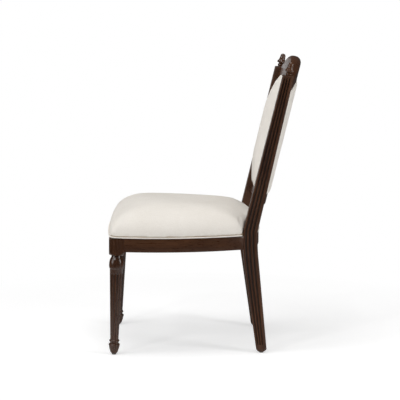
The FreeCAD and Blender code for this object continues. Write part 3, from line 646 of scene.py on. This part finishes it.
def makeFrontLegs():
    sides = frontLeg["sides"]
    low, high, scoop = frontLeg["fluteRun"]
    rings = [legRing(z, [radius] * sides) for z, radius in legFoot]
    levels = spaced((low, low + scoop, high - scoop, high), frontLeg["levelSteps"])
    rings += [legRing(z, flutedRadii(z)) for z in levels]
    rings += [legRing(z, [radius] * sides) for z, radius in legDome]
    neckHeight, neckRadius = frontLeg["neck"]
    start = frontLeg["railBottom"] + frontLeg["shoulder"]
    cornerRadius = frontLeg["half"] * math.sqrt(2)
    for k in range(1, frontLeg["neckSteps"] + 1):
        turn = math.pi / 2 * k / frontLeg["neckSteps"]
        z = neckHeight + (start - neckHeight) * (1 - math.cos(turn))
        rings.append(legRing(z, blockRadii(neckRadius + (cornerRadius - neckRadius) * math.sin(turn))))
    rings.append(legRing(frontLeg["top"], blockRadii(cornerRadius)))
    left = stackRings("frontLegLeft", rings)
    # painted shade in the flutes' hollows and painted highlight on their ridges
    addPaintedFluteShade(left, legHollow)
    dressPair(left, "frontLegRight", "front_leg", woodTurned, frontLeg["smooth"])


makeFrontLegs()
print("front legs made")


# Finials

finial = {
    "lobes": 8, "lobeDepth": 0.0019, "lobeRadius": 0.0154, "sharpness": 0.7, "sides": 96, "bed": 0.0003,
    "smooth": 50,
}
# heights and radii above the post's top; the third number is how far the lobes cut in there
finialTurning = [
    (0.0000, 0.0095, 0), (0.0022, 0.0104, 0), (0.0040, 0.0113, 0), (0.0058, 0.0115, 0),
    (0.0076, 0.0110, 0), (0.0090, 0.0096, 0), (0.0098, 0.0080, 0), (0.0110, 0.0076, 0),
    (0.0116, 0.0096, 0.4), (0.0122, 0.0128, 0.8), (0.0132, 0.0148, 1), (0.0146, 0.0158, 1),
    (0.0162, 0.0160, 1), (0.0180, 0.0155, 1), (0.0198, 0.0143, 0.9), (0.0222, 0.0129, 0.8),
    (0.0245, 0.0118, 0.7), (0.0270, 0.0109, 0.6), (0.0300, 0.0102, 0.45), (0.0330, 0.0098, 0.3),
    (0.0370, 0.0095, 0.2), (0.0402, 0.0090, 0.1), (0.0425, 0.0081, 0), (0.0443, 0.0067, 0),
    (0.0457, 0.0050, 0), (0.0466, 0.0030, 0), (0.0470, 0.0010, 0),
]


def makeFinials():
    run = rearPost["top"] - rearPost["kink"]
    splay = rearPost["middles"][2] - rearPost["middles"][1]
    axis = Vector((splay, math.tan(math.radians(rearPost["rake"])) * run, run)).normalized()
    middle = (postFrontAt(rearPost["top"]) + postRearAt(rearPost["top"])) / 2 - setBack
    base = Vector((rearPost["middles"][2], middle, rearPost["top"]))
    turn = axis.to_track_quat("Z", "Y")
    rings = []
    for height, radius, cut in finialTurning:
        ring = []
        for k in range(finial["sides"]):
            angle = 2 * math.pi * k / finial["sides"]
            valley = 1 - abs(math.sin(angle * finial["lobes"] / 2)) ** finial["sharpness"]
            out = radius - valley * finial["lobeDepth"] * cut * radius / finial["lobeRadius"]
            ring.append(base + turn @ Vector((out * math.cos(angle), out * math.sin(angle), height)))
        rings.append(ring)
    # the foot of the turning stands level on the post
    rings[0] = [Vector((point.x, point.y, base.z + finial["bed"])) for point in rings[0]]
    left = stackRings("finialLeft", rings)
    dressPair(left, "finialRight", "finial", woodTurned, finial["smooth"])


makeFinials()
print("finials made")


# Back frame, in its own raked frame: n square to the rake, s along it from the bend of the posts

backFrame = {
    "half": 0.204, "low": 0.172,    # the posts' inner faces at the top and at the bend
    "stations": 44, "cornerSteps": 7,
    # the place of each face or edge in the middle, and how much less that is at the posts
    "front": (0.024, 0.008), "rear": (0.066, 0.026),
    "crestTop": (0.619, 0.075), "crestBottom": (0.545, 0.040), "crestRounds": (0.018, 0.010),
    "lowerRail": (0.093, 0.131, 0.004), "eased": 0.0012, "railGap": 0.0001, "smooth": 40,
    "panel": 0.009, "fit": 0.0003,
}


def backPoint(x, n, s):
    rake = math.radians(rearPost["rake"])
    return Vector((x, rearPost["front"] - setBack + n * math.cos(rake) + s * math.sin(rake),
                   rearPost["kink"] - n * math.sin(rake) + s * math.cos(rake)))


def depthInBack(point):
    # the n that backPoint takes, read back from a point
    rake = math.radians(rearPost["rake"])
    behind = point.y + setBack - rearPost["front"]
    return behind * math.cos(rake) - (point.z - rearPost["kink"]) * math.sin(rake)


def bowed(x, bound):
    middle, bow = bound
    if bow == 0:
        return middle
    radius = (backFrame["half"] ** 2 + bow ** 2) / (2 * bow)
    return middle - radius + math.sqrt(radius ** 2 - x ** 2)


def postFaceAt(n, s):
    rake = math.radians(rearPost["rake"])
    share = (s * math.cos(rake) - n * math.sin(rake)) / (rearPost["top"] - rearPost["kink"])
    return backFrame["low"] + (backFrame["half"] - backFrame["low"]) * share


def softCorner(corner, before, after, radius, count):
    # a corner of any angle turned by an arc, in the plane of n and s
    toBefore = (before - corner).normalized()
    toAfter = (after - corner).normalized()
    half = toBefore.angle(toAfter) / 2
    reach = radius / math.tan(half)
    centre = corner + (toBefore + toAfter).normalized() * (radius / math.sin(half))
    first = corner + toBefore * reach - centre
    last = corner + toAfter * reach - centre
    turn = math.pi - 2 * half
    points = []
    for k in range(count + 1):
        arc = first * math.sin((1 - k / count) * turn) + last * math.sin(k / count * turn)
        points.append(centre + arc / math.sin(turn))
    return points


def backSection(t, front, rear, low, top, rounds, gap):
    # the section of a rail at the share t of the way from the middle to a post
    x = t * backFrame["half"]
    nFront, nRear, sLow, sTop = (bowed(x, bound) for bound in (front, rear, low, top))
    corners = [Vector(corner) for corner in ((nFront, sLow), (nFront, sTop), (nRear, sTop), (nRear, sLow))]
    points = []
    for k, corner in enumerate(corners):
        middle, end = rounds[k]
        radius = middle + (end - middle) * abs(t)
        points += softCorner(corner, corners[k - 1], corners[(k + 1) % 4], radius, backFrame["cornerSteps"])
    return [backPoint(t * (postFaceAt(n, s) - gap), n, s) for n, s in points]


def sweepAcross(name, front, rear, low, top, rounds, gap):
    count = backFrame["stations"]
    return stackRings(name, [backSection(2 * k / count - 1, front, rear, low, top, rounds, gap)
                             for k in range(count + 1)])


def makeBackRails():
    low, high, lowRound = backFrame["lowerRail"]
    eased = (backFrame["eased"], backFrame["eased"])
    crestRound, railRound = backFrame["crestRounds"], (lowRound, lowRound)
    for name, node, bottom, top, rounds in (
            ("crestRail", "crest_rail", backFrame["crestBottom"], backFrame["crestTop"],
             (eased, crestRound, crestRound, eased)),
            ("lowerBackRail", "lower_back_rail", (low, 0), (high, 0), (railRound, eased, eased, railRound))):
        rail = sweepAcross(name, backFrame["front"], backFrame["rear"], bottom, top, rounds,
                           backFrame["railGap"])
        smoothShade(rail, backFrame["smooth"])
        dress(rail, woodAcross, [node])


makeBackRails()
print("crest and lower rail made")


# Seat rails, with their edges eased

seatRails = {
    "eased": 0.0012, "segments": 3, "sharp": 40, "smooth": 30,
    "finishes": {
        "side_rail_left": ("sideRailLeft", woodDeep), "side_rail_right": ("sideRailRight", woodDeep),
        "front_rail": ("frontRail", woodAcross), "rear_rail": ("rearRail", woodAcross),
    },
}


def makeSeatRails():
    for node, (name, material) in seatRails["finishes"].items():
        rail = mergedCopy(node, name)
        applyModifier(rail, "BEVEL", width=seatRails["eased"], segments=seatRails["segments"],
                      limit_method="ANGLE", angle_limit=math.radians(seatRails["sharp"]))
        smoothShade(rail, seatRails["smooth"])
        dress(rail, material, [node])


makeSeatRails()
print("seat rails made")


# Upholstery

filling = {
    "quality": 5, "mass": 0.3, "stiffness": 25, "bending": 1.5, "steps": 20,
    "relax": 0.5, "relaxRemesh": 4, "relaxCloth": 3,
}


def voxelRemesh(piece, size):
    applyModifier(piece, "REMESH", mode="VOXEL", voxel_size=size)
    applyModifier(piece, "SMOOTH", factor=filling["relax"], iterations=filling["relaxRemesh"])


def inflate(piece, held, pressure, cap):
    # cloth filled from inside, held where the test says, and no point moves further than the cap
    rest = [vertex.co.copy() for vertex in piece.data.vertices]
    group = piece.vertex_groups.new(name="held")
    group.add([vertex.index for vertex in piece.data.vertices if held(vertex.co)], 1.0, "REPLACE")
    pick(piece)
    bpy.ops.object.modifier_add(type="CLOTH")
    cloth = piece.modifiers[-1]
    settings = cloth.settings
    settings.quality = filling["quality"]
    settings.mass = filling["mass"]
    settings.tension_stiffness = filling["stiffness"]
    settings.compression_stiffness = filling["stiffness"]
    settings.bending_stiffness = filling["bending"]
    settings.vertex_group_mass = "held"
    settings.use_pressure = True
    settings.uniform_pressure_force = pressure
    settings.effector_weights.gravity = 0
    for step in range(1, filling["steps"] + 1):
        bpy.context.scene.frame_set(step)
    bpy.ops.object.modifier_apply(modifier=cloth.name)
    bpy.context.scene.frame_set(1)
    for vertex, start in zip(piece.data.vertices, rest):
        move = vertex.co - start
        if move.length > cap:
            vertex.co = start + move * (cap / move.length)
    piece.vertex_groups.clear()
    applyModifier(piece, "SMOOTH", factor=filling["relax"], iterations=filling["relaxCloth"])


def finishPad(piece, nodes):
    applyModifier(piece, "SUBSURF", levels=1, render_levels=1)
    smoothAll(piece)
    dress(piece, linenCloth, nodes)


seat = {
    "overhang": 0.002, "corner": 0.034, "steps": (14, 8, 26, 8, 12),
    # the two ends of each side's arc in plan, and its bow
    "front": ((-0.212, -0.019), (0.212, -0.019), 0.008),
    "side": ((0.2635, 0.033), (0.2105, 0.442), 0.028),
    "rear": ((0.172, 0.4875), (-0.172, 0.4875), 0.017),
    "bottom": 0.4156, "rise": 0.096, "reach": 0.178, "power": 2.26,
    "slope": 0.021, "slopeStart": 0.227, "levels": 22, "crown": 0.955, "crowding": 1.15,
    "start": 0.0025, "pressure": 4.0, "cap": 0.0012, "voxel": 0.0054, "held": 0.004, "fill": 0.85,
    "postRoom": 0.0012, "notchHeights": (0.36, 0.416, 0.426, 0.60), "notchReach": (0.35, 0.30),
}
# where the cloth is drawn in before each post, from low to high as places along Y and Z
crease = {
    "low": Vector((0.4355, 0.416)), "high": Vector((0.4250, 0.497)), "from": 0.18,
    "depth": 0.0035, "width": 0.0042, "fade": 4,
}


def planArc(side):
    # the circle of a bowed side, grown by the overhang
    (ax, ay), (bx, by), bow = seat[side]
    run = Vector((bx - ax, by - ay))
    radius = ((run.length / 2) ** 2 + bow ** 2) / (2 * bow)
    out = Vector((run.y, -run.x)).normalized()
    centre = Vector(((ax + bx) / 2, (ay + by) / 2)) - out * (radius - bow)
    return centre, radius + seat["overhang"]


def crossing(first, second):
    (a, ra), (b, rb) = first, second
    between = b - a
    along = (ra ** 2 - rb ** 2 + between.length ** 2) / (2 * between.length)
    aside = math.sqrt(ra ** 2 - along ** 2)
    unit = between.normalized()
    foot = a + unit * along
    square = Vector((-unit.y, unit.x)) * aside
    return max((foot + square, foot - square), key=lambda point: point.x)


def arcPoints(centre, start, end, count):
    first = math.atan2(start.y - centre.y, start.x - centre.x)
    last = math.atan2(end.y - centre.y, end.x - centre.x)
    radius = (start - centre).length
    turns = [first + (last - first) * k / count for k in range(count + 1)]
    return [centre + Vector((math.cos(turn), math.sin(turn))) * radius for turn in turns]


def withMirror(half):
    return half + [Vector((-point.x, point.y)) for point in reversed(half[1:-1])]


def seatOutline(inset):
    # the left half of the plan from front middle to rear middle, and its mirror image
    arcs = [planArc(side) for side in ("front", "side", "rear")]
    (front, frontR), (side, sideR), (rear, rearR) = [(centre, radius - inset) for centre, radius in arcs]
    corner = seat["corner"]
    frontCorner = crossing((front, frontR - corner), (side, sideR - corner))
    rearCorner = crossing((rear, rearR - corner), (side, sideR - corner))
    joints = [centre + (towards - centre).normalized() * radius
              for centre, towards, radius in ((front, frontCorner, frontR), (side, frontCorner, sideR),
                                              (side, rearCorner, sideR), (rear, rearCorner, rearR))]
    stops = [front - Vector((0, frontR))] + joints + [rear + Vector((0, rearR))]
    half = [stops[0]]
    for k, centre in enumerate((front, frontCorner, side, rearCorner, rear)):
        half += arcPoints(centre, stops[k], stops[k + 1], seat["steps"][k])[1:]
    return withMirror(half)


def seatRing(share, inside):
    height = seat["rise"] * (1 - (1 - share) ** seat["power"]) ** (1 / seat["power"])
    slope = seat["slope"] * height / seat["rise"]
    level = seat["bottom"] + height - inside
    return [Vector((point.x, point.y - setBack, level - (point.y - seat["slopeStart"]) * slope))
            for point in seatOutline(seat["reach"] * share + inside)]


def cutNotches(cushion):
    # room for each post, down through the rear corners
    room = seat["postRoom"]
    outer, rear = seat["notchReach"]
    for side in (1, -1):
        rings = []
        for z in seat["notchHeights"]:
            inner = postBetween(z, rearPost["middles"]) - postBetween(z, rearPost["widths"]) / 2 - room
            front = postFrontAt(z) - setBack - room
            rings.append([Vector((side * x, y, z))
                          for x, y in ((inner, front), (outer, front), (outer, rear), (inner, rear))])
        cutter = stackRings("postRoom", rings)
        applyModifier(cushion, "BOOLEAN", operation="DIFFERENCE", object=cutter, solver="EXACT")
        bpy.data.objects.remove(cutter)


def drawInCrease(cushion):
    low, high = crease["low"], crease["high"]
    for vertex in cushion.data.vertices:
        place = vertex.co
        share = (place.z - low.y) / (high.y - low.y)
        away = place.y + setBack - low.x - (high.x - low.x) * share
        fade = max(0.0, min(1.0, crease["fade"] * (1 - share)))
        pull = crease["depth"] * math.exp(-(away / crease["width"]) ** 2) * fade
        if abs(place.x) > crease["from"]:
            place.x -= math.copysign(pull, place.x)
        place.z = max(place.z, seat["bottom"])


def makeSeatCushion():
    # outlines stacked to the crown, closest together in plan at the side, where it is steep
    turns = [math.pi / 2 * seat["crown"] * (k / seat["levels"]) ** seat["crowding"]
             for k in range(1, seat["levels"] + 1)]
    base = [Vector((point.x, point.y - setBack, seat["bottom"])) for point in seatOutline(seat["start"])]
    rings = [base] + [seatRing(1 - math.cos(turn), seat["start"]) for turn in turns]
    cushion = stackRings("seatCushion", rings)
    cutNotches(cushion)
    voxelRemesh(cushion, seat["voxel"])
    inflate(cushion, lambda point: point.z < seat["bottom"] + seat["held"], seat["pressure"], seat["cap"])
    drawInCrease(cushion)
    finishPad(cushion, ["seat_foam", "seat_cover"])


makeSeatCushion()
print("seat cushion made")


def makeSeatWelt():
    welt = mergedCopy("seat_welt", "seatWelt")
    applyModifier(welt, "SUBSURF", levels=2, render_levels=2)
    smoothAll(welt)
    dress(welt, linenCloth, ["seat_welt"])


makeSeatWelt()
print("welt made")


backPad = {
    "edge": 0.006, "least": 0.0065, "rise": 0.0286, "reach": 0.150, "corner": 0.014,
    "levels": 16, "crown": 0.98, "crowding": 1.3, "steps": {"foot": 12, "corner": 6, "side": 16, "arch": 16},
    "start": 0.0008, "pressure": 4.0, "cap": 0.0010, "voxel": 0.0048, "held": 0.003, "fill": 0.8,
}


def padOutline(inset, levelAt):
    # straight sides along the posts, and the arch of the crest rail's foot
    steps = backPad["steps"]
    low = backFrame["lowerRail"][1] + inset
    slope = (backFrame["half"] - backFrame["low"]) * math.cos(math.radians(rearPost["rake"]))
    slope /= rearPost["top"] - rearPost["kink"]
    steep = math.sqrt(1 + slope ** 2)
    start = postFaceAt(levelAt(0), 0) - inset
    corner = backPad["corner"]
    roundX = start - corner * steep
    peak, rise = backFrame["crestBottom"]
    archRadius = (backFrame["half"] ** 2 + rise ** 2) / (2 * rise)
    archS = peak - backFrame["fit"] - archRadius
    reach = archRadius - inset - corner
    lowCentre = Vector((roundX + slope * (low + corner), low + corner))
    halfB = roundX * slope - archS
    rest = roundX ** 2 + archS ** 2 - reach ** 2
    topS = (-halfB + math.sqrt(halfB ** 2 - steep ** 2 * rest)) / steep ** 2
    topCentre = Vector((roundX + slope * topS, topS))
    aside = Vector((corner / steep, -corner * slope / steep))
    arch = Vector((0, archS))
    topJoint = arch + (topCentre - arch).normalized() * (archRadius - inset)
    half = [Vector((lowCentre.x * k / steps["foot"], low)) for k in range(steps["foot"])]
    half += arcPoints(lowCentre, Vector((lowCentre.x, low)), lowCentre + aside, steps["corner"])
    half += [lowCentre + aside + (topCentre - lowCentre) * k / steps["side"] for k in range(1, steps["side"])]
    half += arcPoints(topCentre, topCentre + aside, topJoint, steps["corner"])
    half += arcPoints(arch, topJoint, Vector((0, archS + archRadius - inset)), steps["arch"])[1:]
    return [backPoint(point.x, levelAt(point.x), point.y) for point in withMirror(half)]


def makeBackPad():
    fit = backFrame["fit"] + backPad["start"]
    front = backFrame["front"]
    edge = front[0] - front[1] / 2 - backPad["edge"] + backPad["start"]
    rings = [padOutline(fit, lambda x: bowed(x, front) - backFrame["fit"])]
    for k in range(backPad["levels"] + 1):
        share = backPad["crown"] * (k / backPad["levels"]) ** backPad["crowding"]
        level = edge - backPad["rise"] * math.sin(math.pi / 2 * share) - backFrame["fit"]
        rings.append(padOutline(backPad["reach"] * share + fit,
                                lambda x: min(level, bowed(x, front) - backPad["least"])))
    pad = stackRings("backPad", rings)
    voxelRemesh(pad, backPad["voxel"])
    inflate(pad, lambda point: depthInBack(point) > bowed(point.x, front) - backPad["held"],
            backPad["pressure"], backPad["cap"])
    finishPad(pad, ["back_foam", "back_cover"])


makeBackPad()
print("back pad made")


outsideBack = {
    "mid": 0.0722, "round": 0.007, "eased": 0.001,
    "start": 0.001, "pressure": 3.0, "cap": 0.0012, "voxel": 0.0052, "held": 0.006, "fill": 0.6,
}


def makeOutsideBack():
    inside = outsideBack["start"]
    fit = backFrame["fit"]
    front = (backFrame["front"][0] + backFrame["panel"] + fit, backFrame["front"][1])
    rear = (outsideBack["mid"] - inside, backFrame["rear"][1])
    low = (backFrame["lowerRail"][1] + fit + inside, 0)
    top = (backFrame["crestBottom"][0] - 2 * fit - inside, backFrame["crestBottom"][1])
    edge = (outsideBack["round"], outsideBack["round"])
    eased = (outsideBack["eased"], outsideBack["eased"])
    pad = sweepAcross("outsideBack", front, rear, low, top, (eased, eased, edge, edge), fit + inside)
    voxelRemesh(pad, outsideBack["voxel"])
    held = outsideBack["held"]
    inflate(pad, lambda point: depthInBack(point) < bowed(point.x, backFrame["rear"]) - held,
            outsideBack["pressure"], outsideBack["cap"])
    finishPad(pad, ["outside_back_padding", "outside_back_cover"])


makeOutsideBack()
print("outside back made")


def makeDustCover():
    cover = mergedCopy("seat_dust_cover", "dustCover")
    dress(cover, dustCloth, ["seat_dust_cover"])


makeDustCover()
print("dust cover made")


# CAD nodes that stay get their finish

nodeFinishes = {
    "corner_block_front_left": blockWood, "corner_block_front_right": blockWood,
    "corner_block_rear_left": blockWood, "corner_block_rear_right": blockWood,
    # the back panel takes the board darkened as painted shadow
    "back_panel": shadowDarkPanelWood, "seat_deck": plyWood,
    "seat_screws": screwSteel, "foot_glides": glideSteel,
}
for keptNode, keptFinish in nodeFinishes.items():
    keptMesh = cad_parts[keptNode].data
    keptMesh.materials.clear()
    keptMesh.materials.append(keptFinish)
print("all pieces dressed")


# Studio

studio = {
    "eye": (6.0569, -0.1062, 1.4119), "yaw": -0.887, "pitch": 8.517, "roll": 0.237, "lens": 154.83,
    "sensor": 36, "clipEnd": 60,
    "ambient": 0.25, "room": 0.05,
    "wedge": (0.30, 0.16), "wedgeFade": (0.1, -0.2),   # its turn and width, and how softly it ends
    "wallHeights": (0.32, 0.02),                       # up the sky: where the wall ends, and is full white
    "floor": 40, "paper": 0.86, "seenPaper": 0.66, "lift": 0.535, "paperEdge": (0.7, 1.3),
    "aim": (0, 0, 0.5),
    "lamps": {
        "overhead": {"place": (0.3, -0.2, 2.9), "size": (1.4, 1.4), "power": 28.0},
        "key": {"place": (2.1, -1.6, 2.3), "size": (0.3, 0.3), "power": 11.0},
        "frontBox": {"place": (1.1, -2.4, 1.3), "size": (1.2, 1.8), "power": 23.0},
        "rearBox": {"place": (1.3, 2.3, 1.3), "size": (0.7, 1.8), "power": 26.0},
    },
}


def addCamera():
    yaw, pitch, roll = (math.radians(studio[name]) for name in ("yaw", "pitch", "roll"))
    ahead = Vector((-math.cos(pitch) * math.cos(yaw), -math.cos(pitch) * math.sin(yaw), -math.sin(pitch)))
    level = ahead.cross(Vector((0, 0, 1))).normalized()
    upward = level.cross(ahead)
    right = level * math.cos(roll) + upward * math.sin(roll)
    up = upward * math.cos(roll) - level * math.sin(roll)
    bpy.ops.object.camera_add(location=studio["eye"])
    camera = bpy.context.active_object
    turned = Matrix((right, up, -ahead)).transposed().to_4x4()
    camera.matrix_world = Matrix.Translation(studio["eye"]) @ turned
    camera.data.sensor_width = studio["sensor"]
    camera.data.lens = studio["lens"]
    camera.data.clip_end = studio["clipEnd"]
    bpy.context.scene.camera = camera


def addSoftbox(name, light):
    bpy.ops.object.light_add(type="AREA", location=light["place"])
    lamp = bpy.context.active_object
    lamp.name = name
    lamp.data.shape = "RECTANGLE"
    lamp.data.size, lamp.data.size_y = light["size"]
    lamp.data.energy = light["power"]
    aim = Vector(studio["aim"]) - Vector(light["place"])
    lamp.rotation_euler = aim.to_track_quat("-Z", "Y").to_euler()


def blendValue(tree, share, first, second):
    node = tree.nodes.new("ShaderNodeMix")
    tree.links.new(share, node.inputs["Factor"])
    feed(tree, first, node.inputs[2])  # these sockets are the node's plain numbers
    feed(tree, second, node.inputs[3])
    return node.outputs["Result"]


def wedgeBehind(tree, place):
    # negative in a wedge on the far side of the chair, towards its front, where the rails mirror it
    turn, wide = studio["wedge"]
    parts = tree.nodes.new("ShaderNodeSeparateXYZ")
    tree.links.new(place, parts.inputs["Vector"])
    aside = mathNode(tree, "ABSOLUTE", addShare(tree, parts.outputs["Y"], parts.outputs["X"], -turn))
    return addShare(tree, parts.outputs["X"], aside, 1 / wide)


def lightWorld():
    # polished faces mirror a white wall in the wedge and the dark room elsewhere
    world = bpy.data.worlds.new("studio")
    bpy.context.scene.world = world
    world.use_nodes = True
    tree = world.node_tree
    background = tree.nodes["Background"]
    background.inputs["Color"].default_value = (1, 1, 1, 1)
    path = tree.nodes.new("ShaderNodeLightPath")
    place = tree.nodes.new("ShaderNodeTexCoord").outputs["Generated"]
    parts = tree.nodes.new("ShaderNodeSeparateXYZ")
    tree.links.new(place, parts.inputs["Vector"])
    wall = mapRange(tree, wedgeBehind(tree, place), studio["wedgeFade"])
    glow = mapRange(tree, parts.outputs["Z"], studio["wallHeights"], (studio["room"], 1.0))
    mirrored = blendValue(tree, wall, studio["room"], glow)
    unseen = blendValue(tree, path.outputs["Is Glossy Ray"], studio["ambient"], mirrored)
    strength = blendValue(tree, path.outputs["Is Camera Ray"], unseen, 1.0)
    tree.links.new(strength, background.inputs["Strength"])


def blendShader(tree, share, first, second):
    node = tree.nodes.new("ShaderNodeMixShader")
    tree.links.new(share, node.inputs["Fac"])
    tree.links.new(first, node.inputs[1])
    tree.links.new(second, node.inputs[2])
    return node.outputs[0]


def paperShader(tree, shade):
    paper = tree.nodes.new("ShaderNodeBsdfDiffuse")
    paper.inputs["Color"].default_value = (shade, shade, shade, 1)
    return paper.outputs[0]


def glowShader(tree, strength):
    glow = tree.nodes.new("ShaderNodeEmission")
    glow.inputs["Strength"].default_value = strength
    return glow.outputs[0]


def layFloor():
    # paper round the chair; further out the camera sees plain white, and reflections the wall and the room
    deselectAll()
    bpy.ops.mesh.primitive_plane_add(size=studio["floor"])
    floor = bpy.context.active_object
    floor.name = "floor"
    material, tree, shader, place = startMaterial("floorPaper")
    output = shader.outputs["BSDF"].links[0].to_node
    tree.nodes.remove(shader)
    paper = paperShader(tree, studio["paper"])
    white = glowShader(tree, 1.0)
    lifted = tree.nodes.new("ShaderNodeAddShader")
    tree.links.new(paperShader(tree, studio["seenPaper"]), lifted.inputs[0])
    tree.links.new(glowShader(tree, studio["lift"]), lifted.inputs[1])
    length = tree.nodes.new("ShaderNodeVectorMath")
    length.operation = "LENGTH"
    tree.links.new(place, length.inputs[0])
    far = mapRange(tree, length.outputs["Value"], studio["paperEdge"])
    inWedge = mathNode(tree, "LESS_THAN", wedgeBehind(tree, place), 0.0)
    beyond = blendShader(tree, inWedge, glowShader(tree, studio["room"]), white)
    path = tree.nodes.new("ShaderNodeLightPath")
    unseen = blendShader(tree, path.outputs["Is Glossy Ray"], paper, blendShader(tree, far, paper, beyond))
    seen = blendShader(tree, far, lifted.outputs[0], white)
    tree.links.new(blendShader(tree, path.outputs["Is Camera Ray"], unseen, seen), output.inputs["Surface"])
    floor.data.materials.append(material)


deselectAll()
addCamera()
for lampName, lampValues in studio["lamps"].items():
    addSoftbox(lampName, lampValues)
lightWorld()
layFloor()
bpy.context.scene.view_settings.view_transform = "Standard"
print("studio ready")
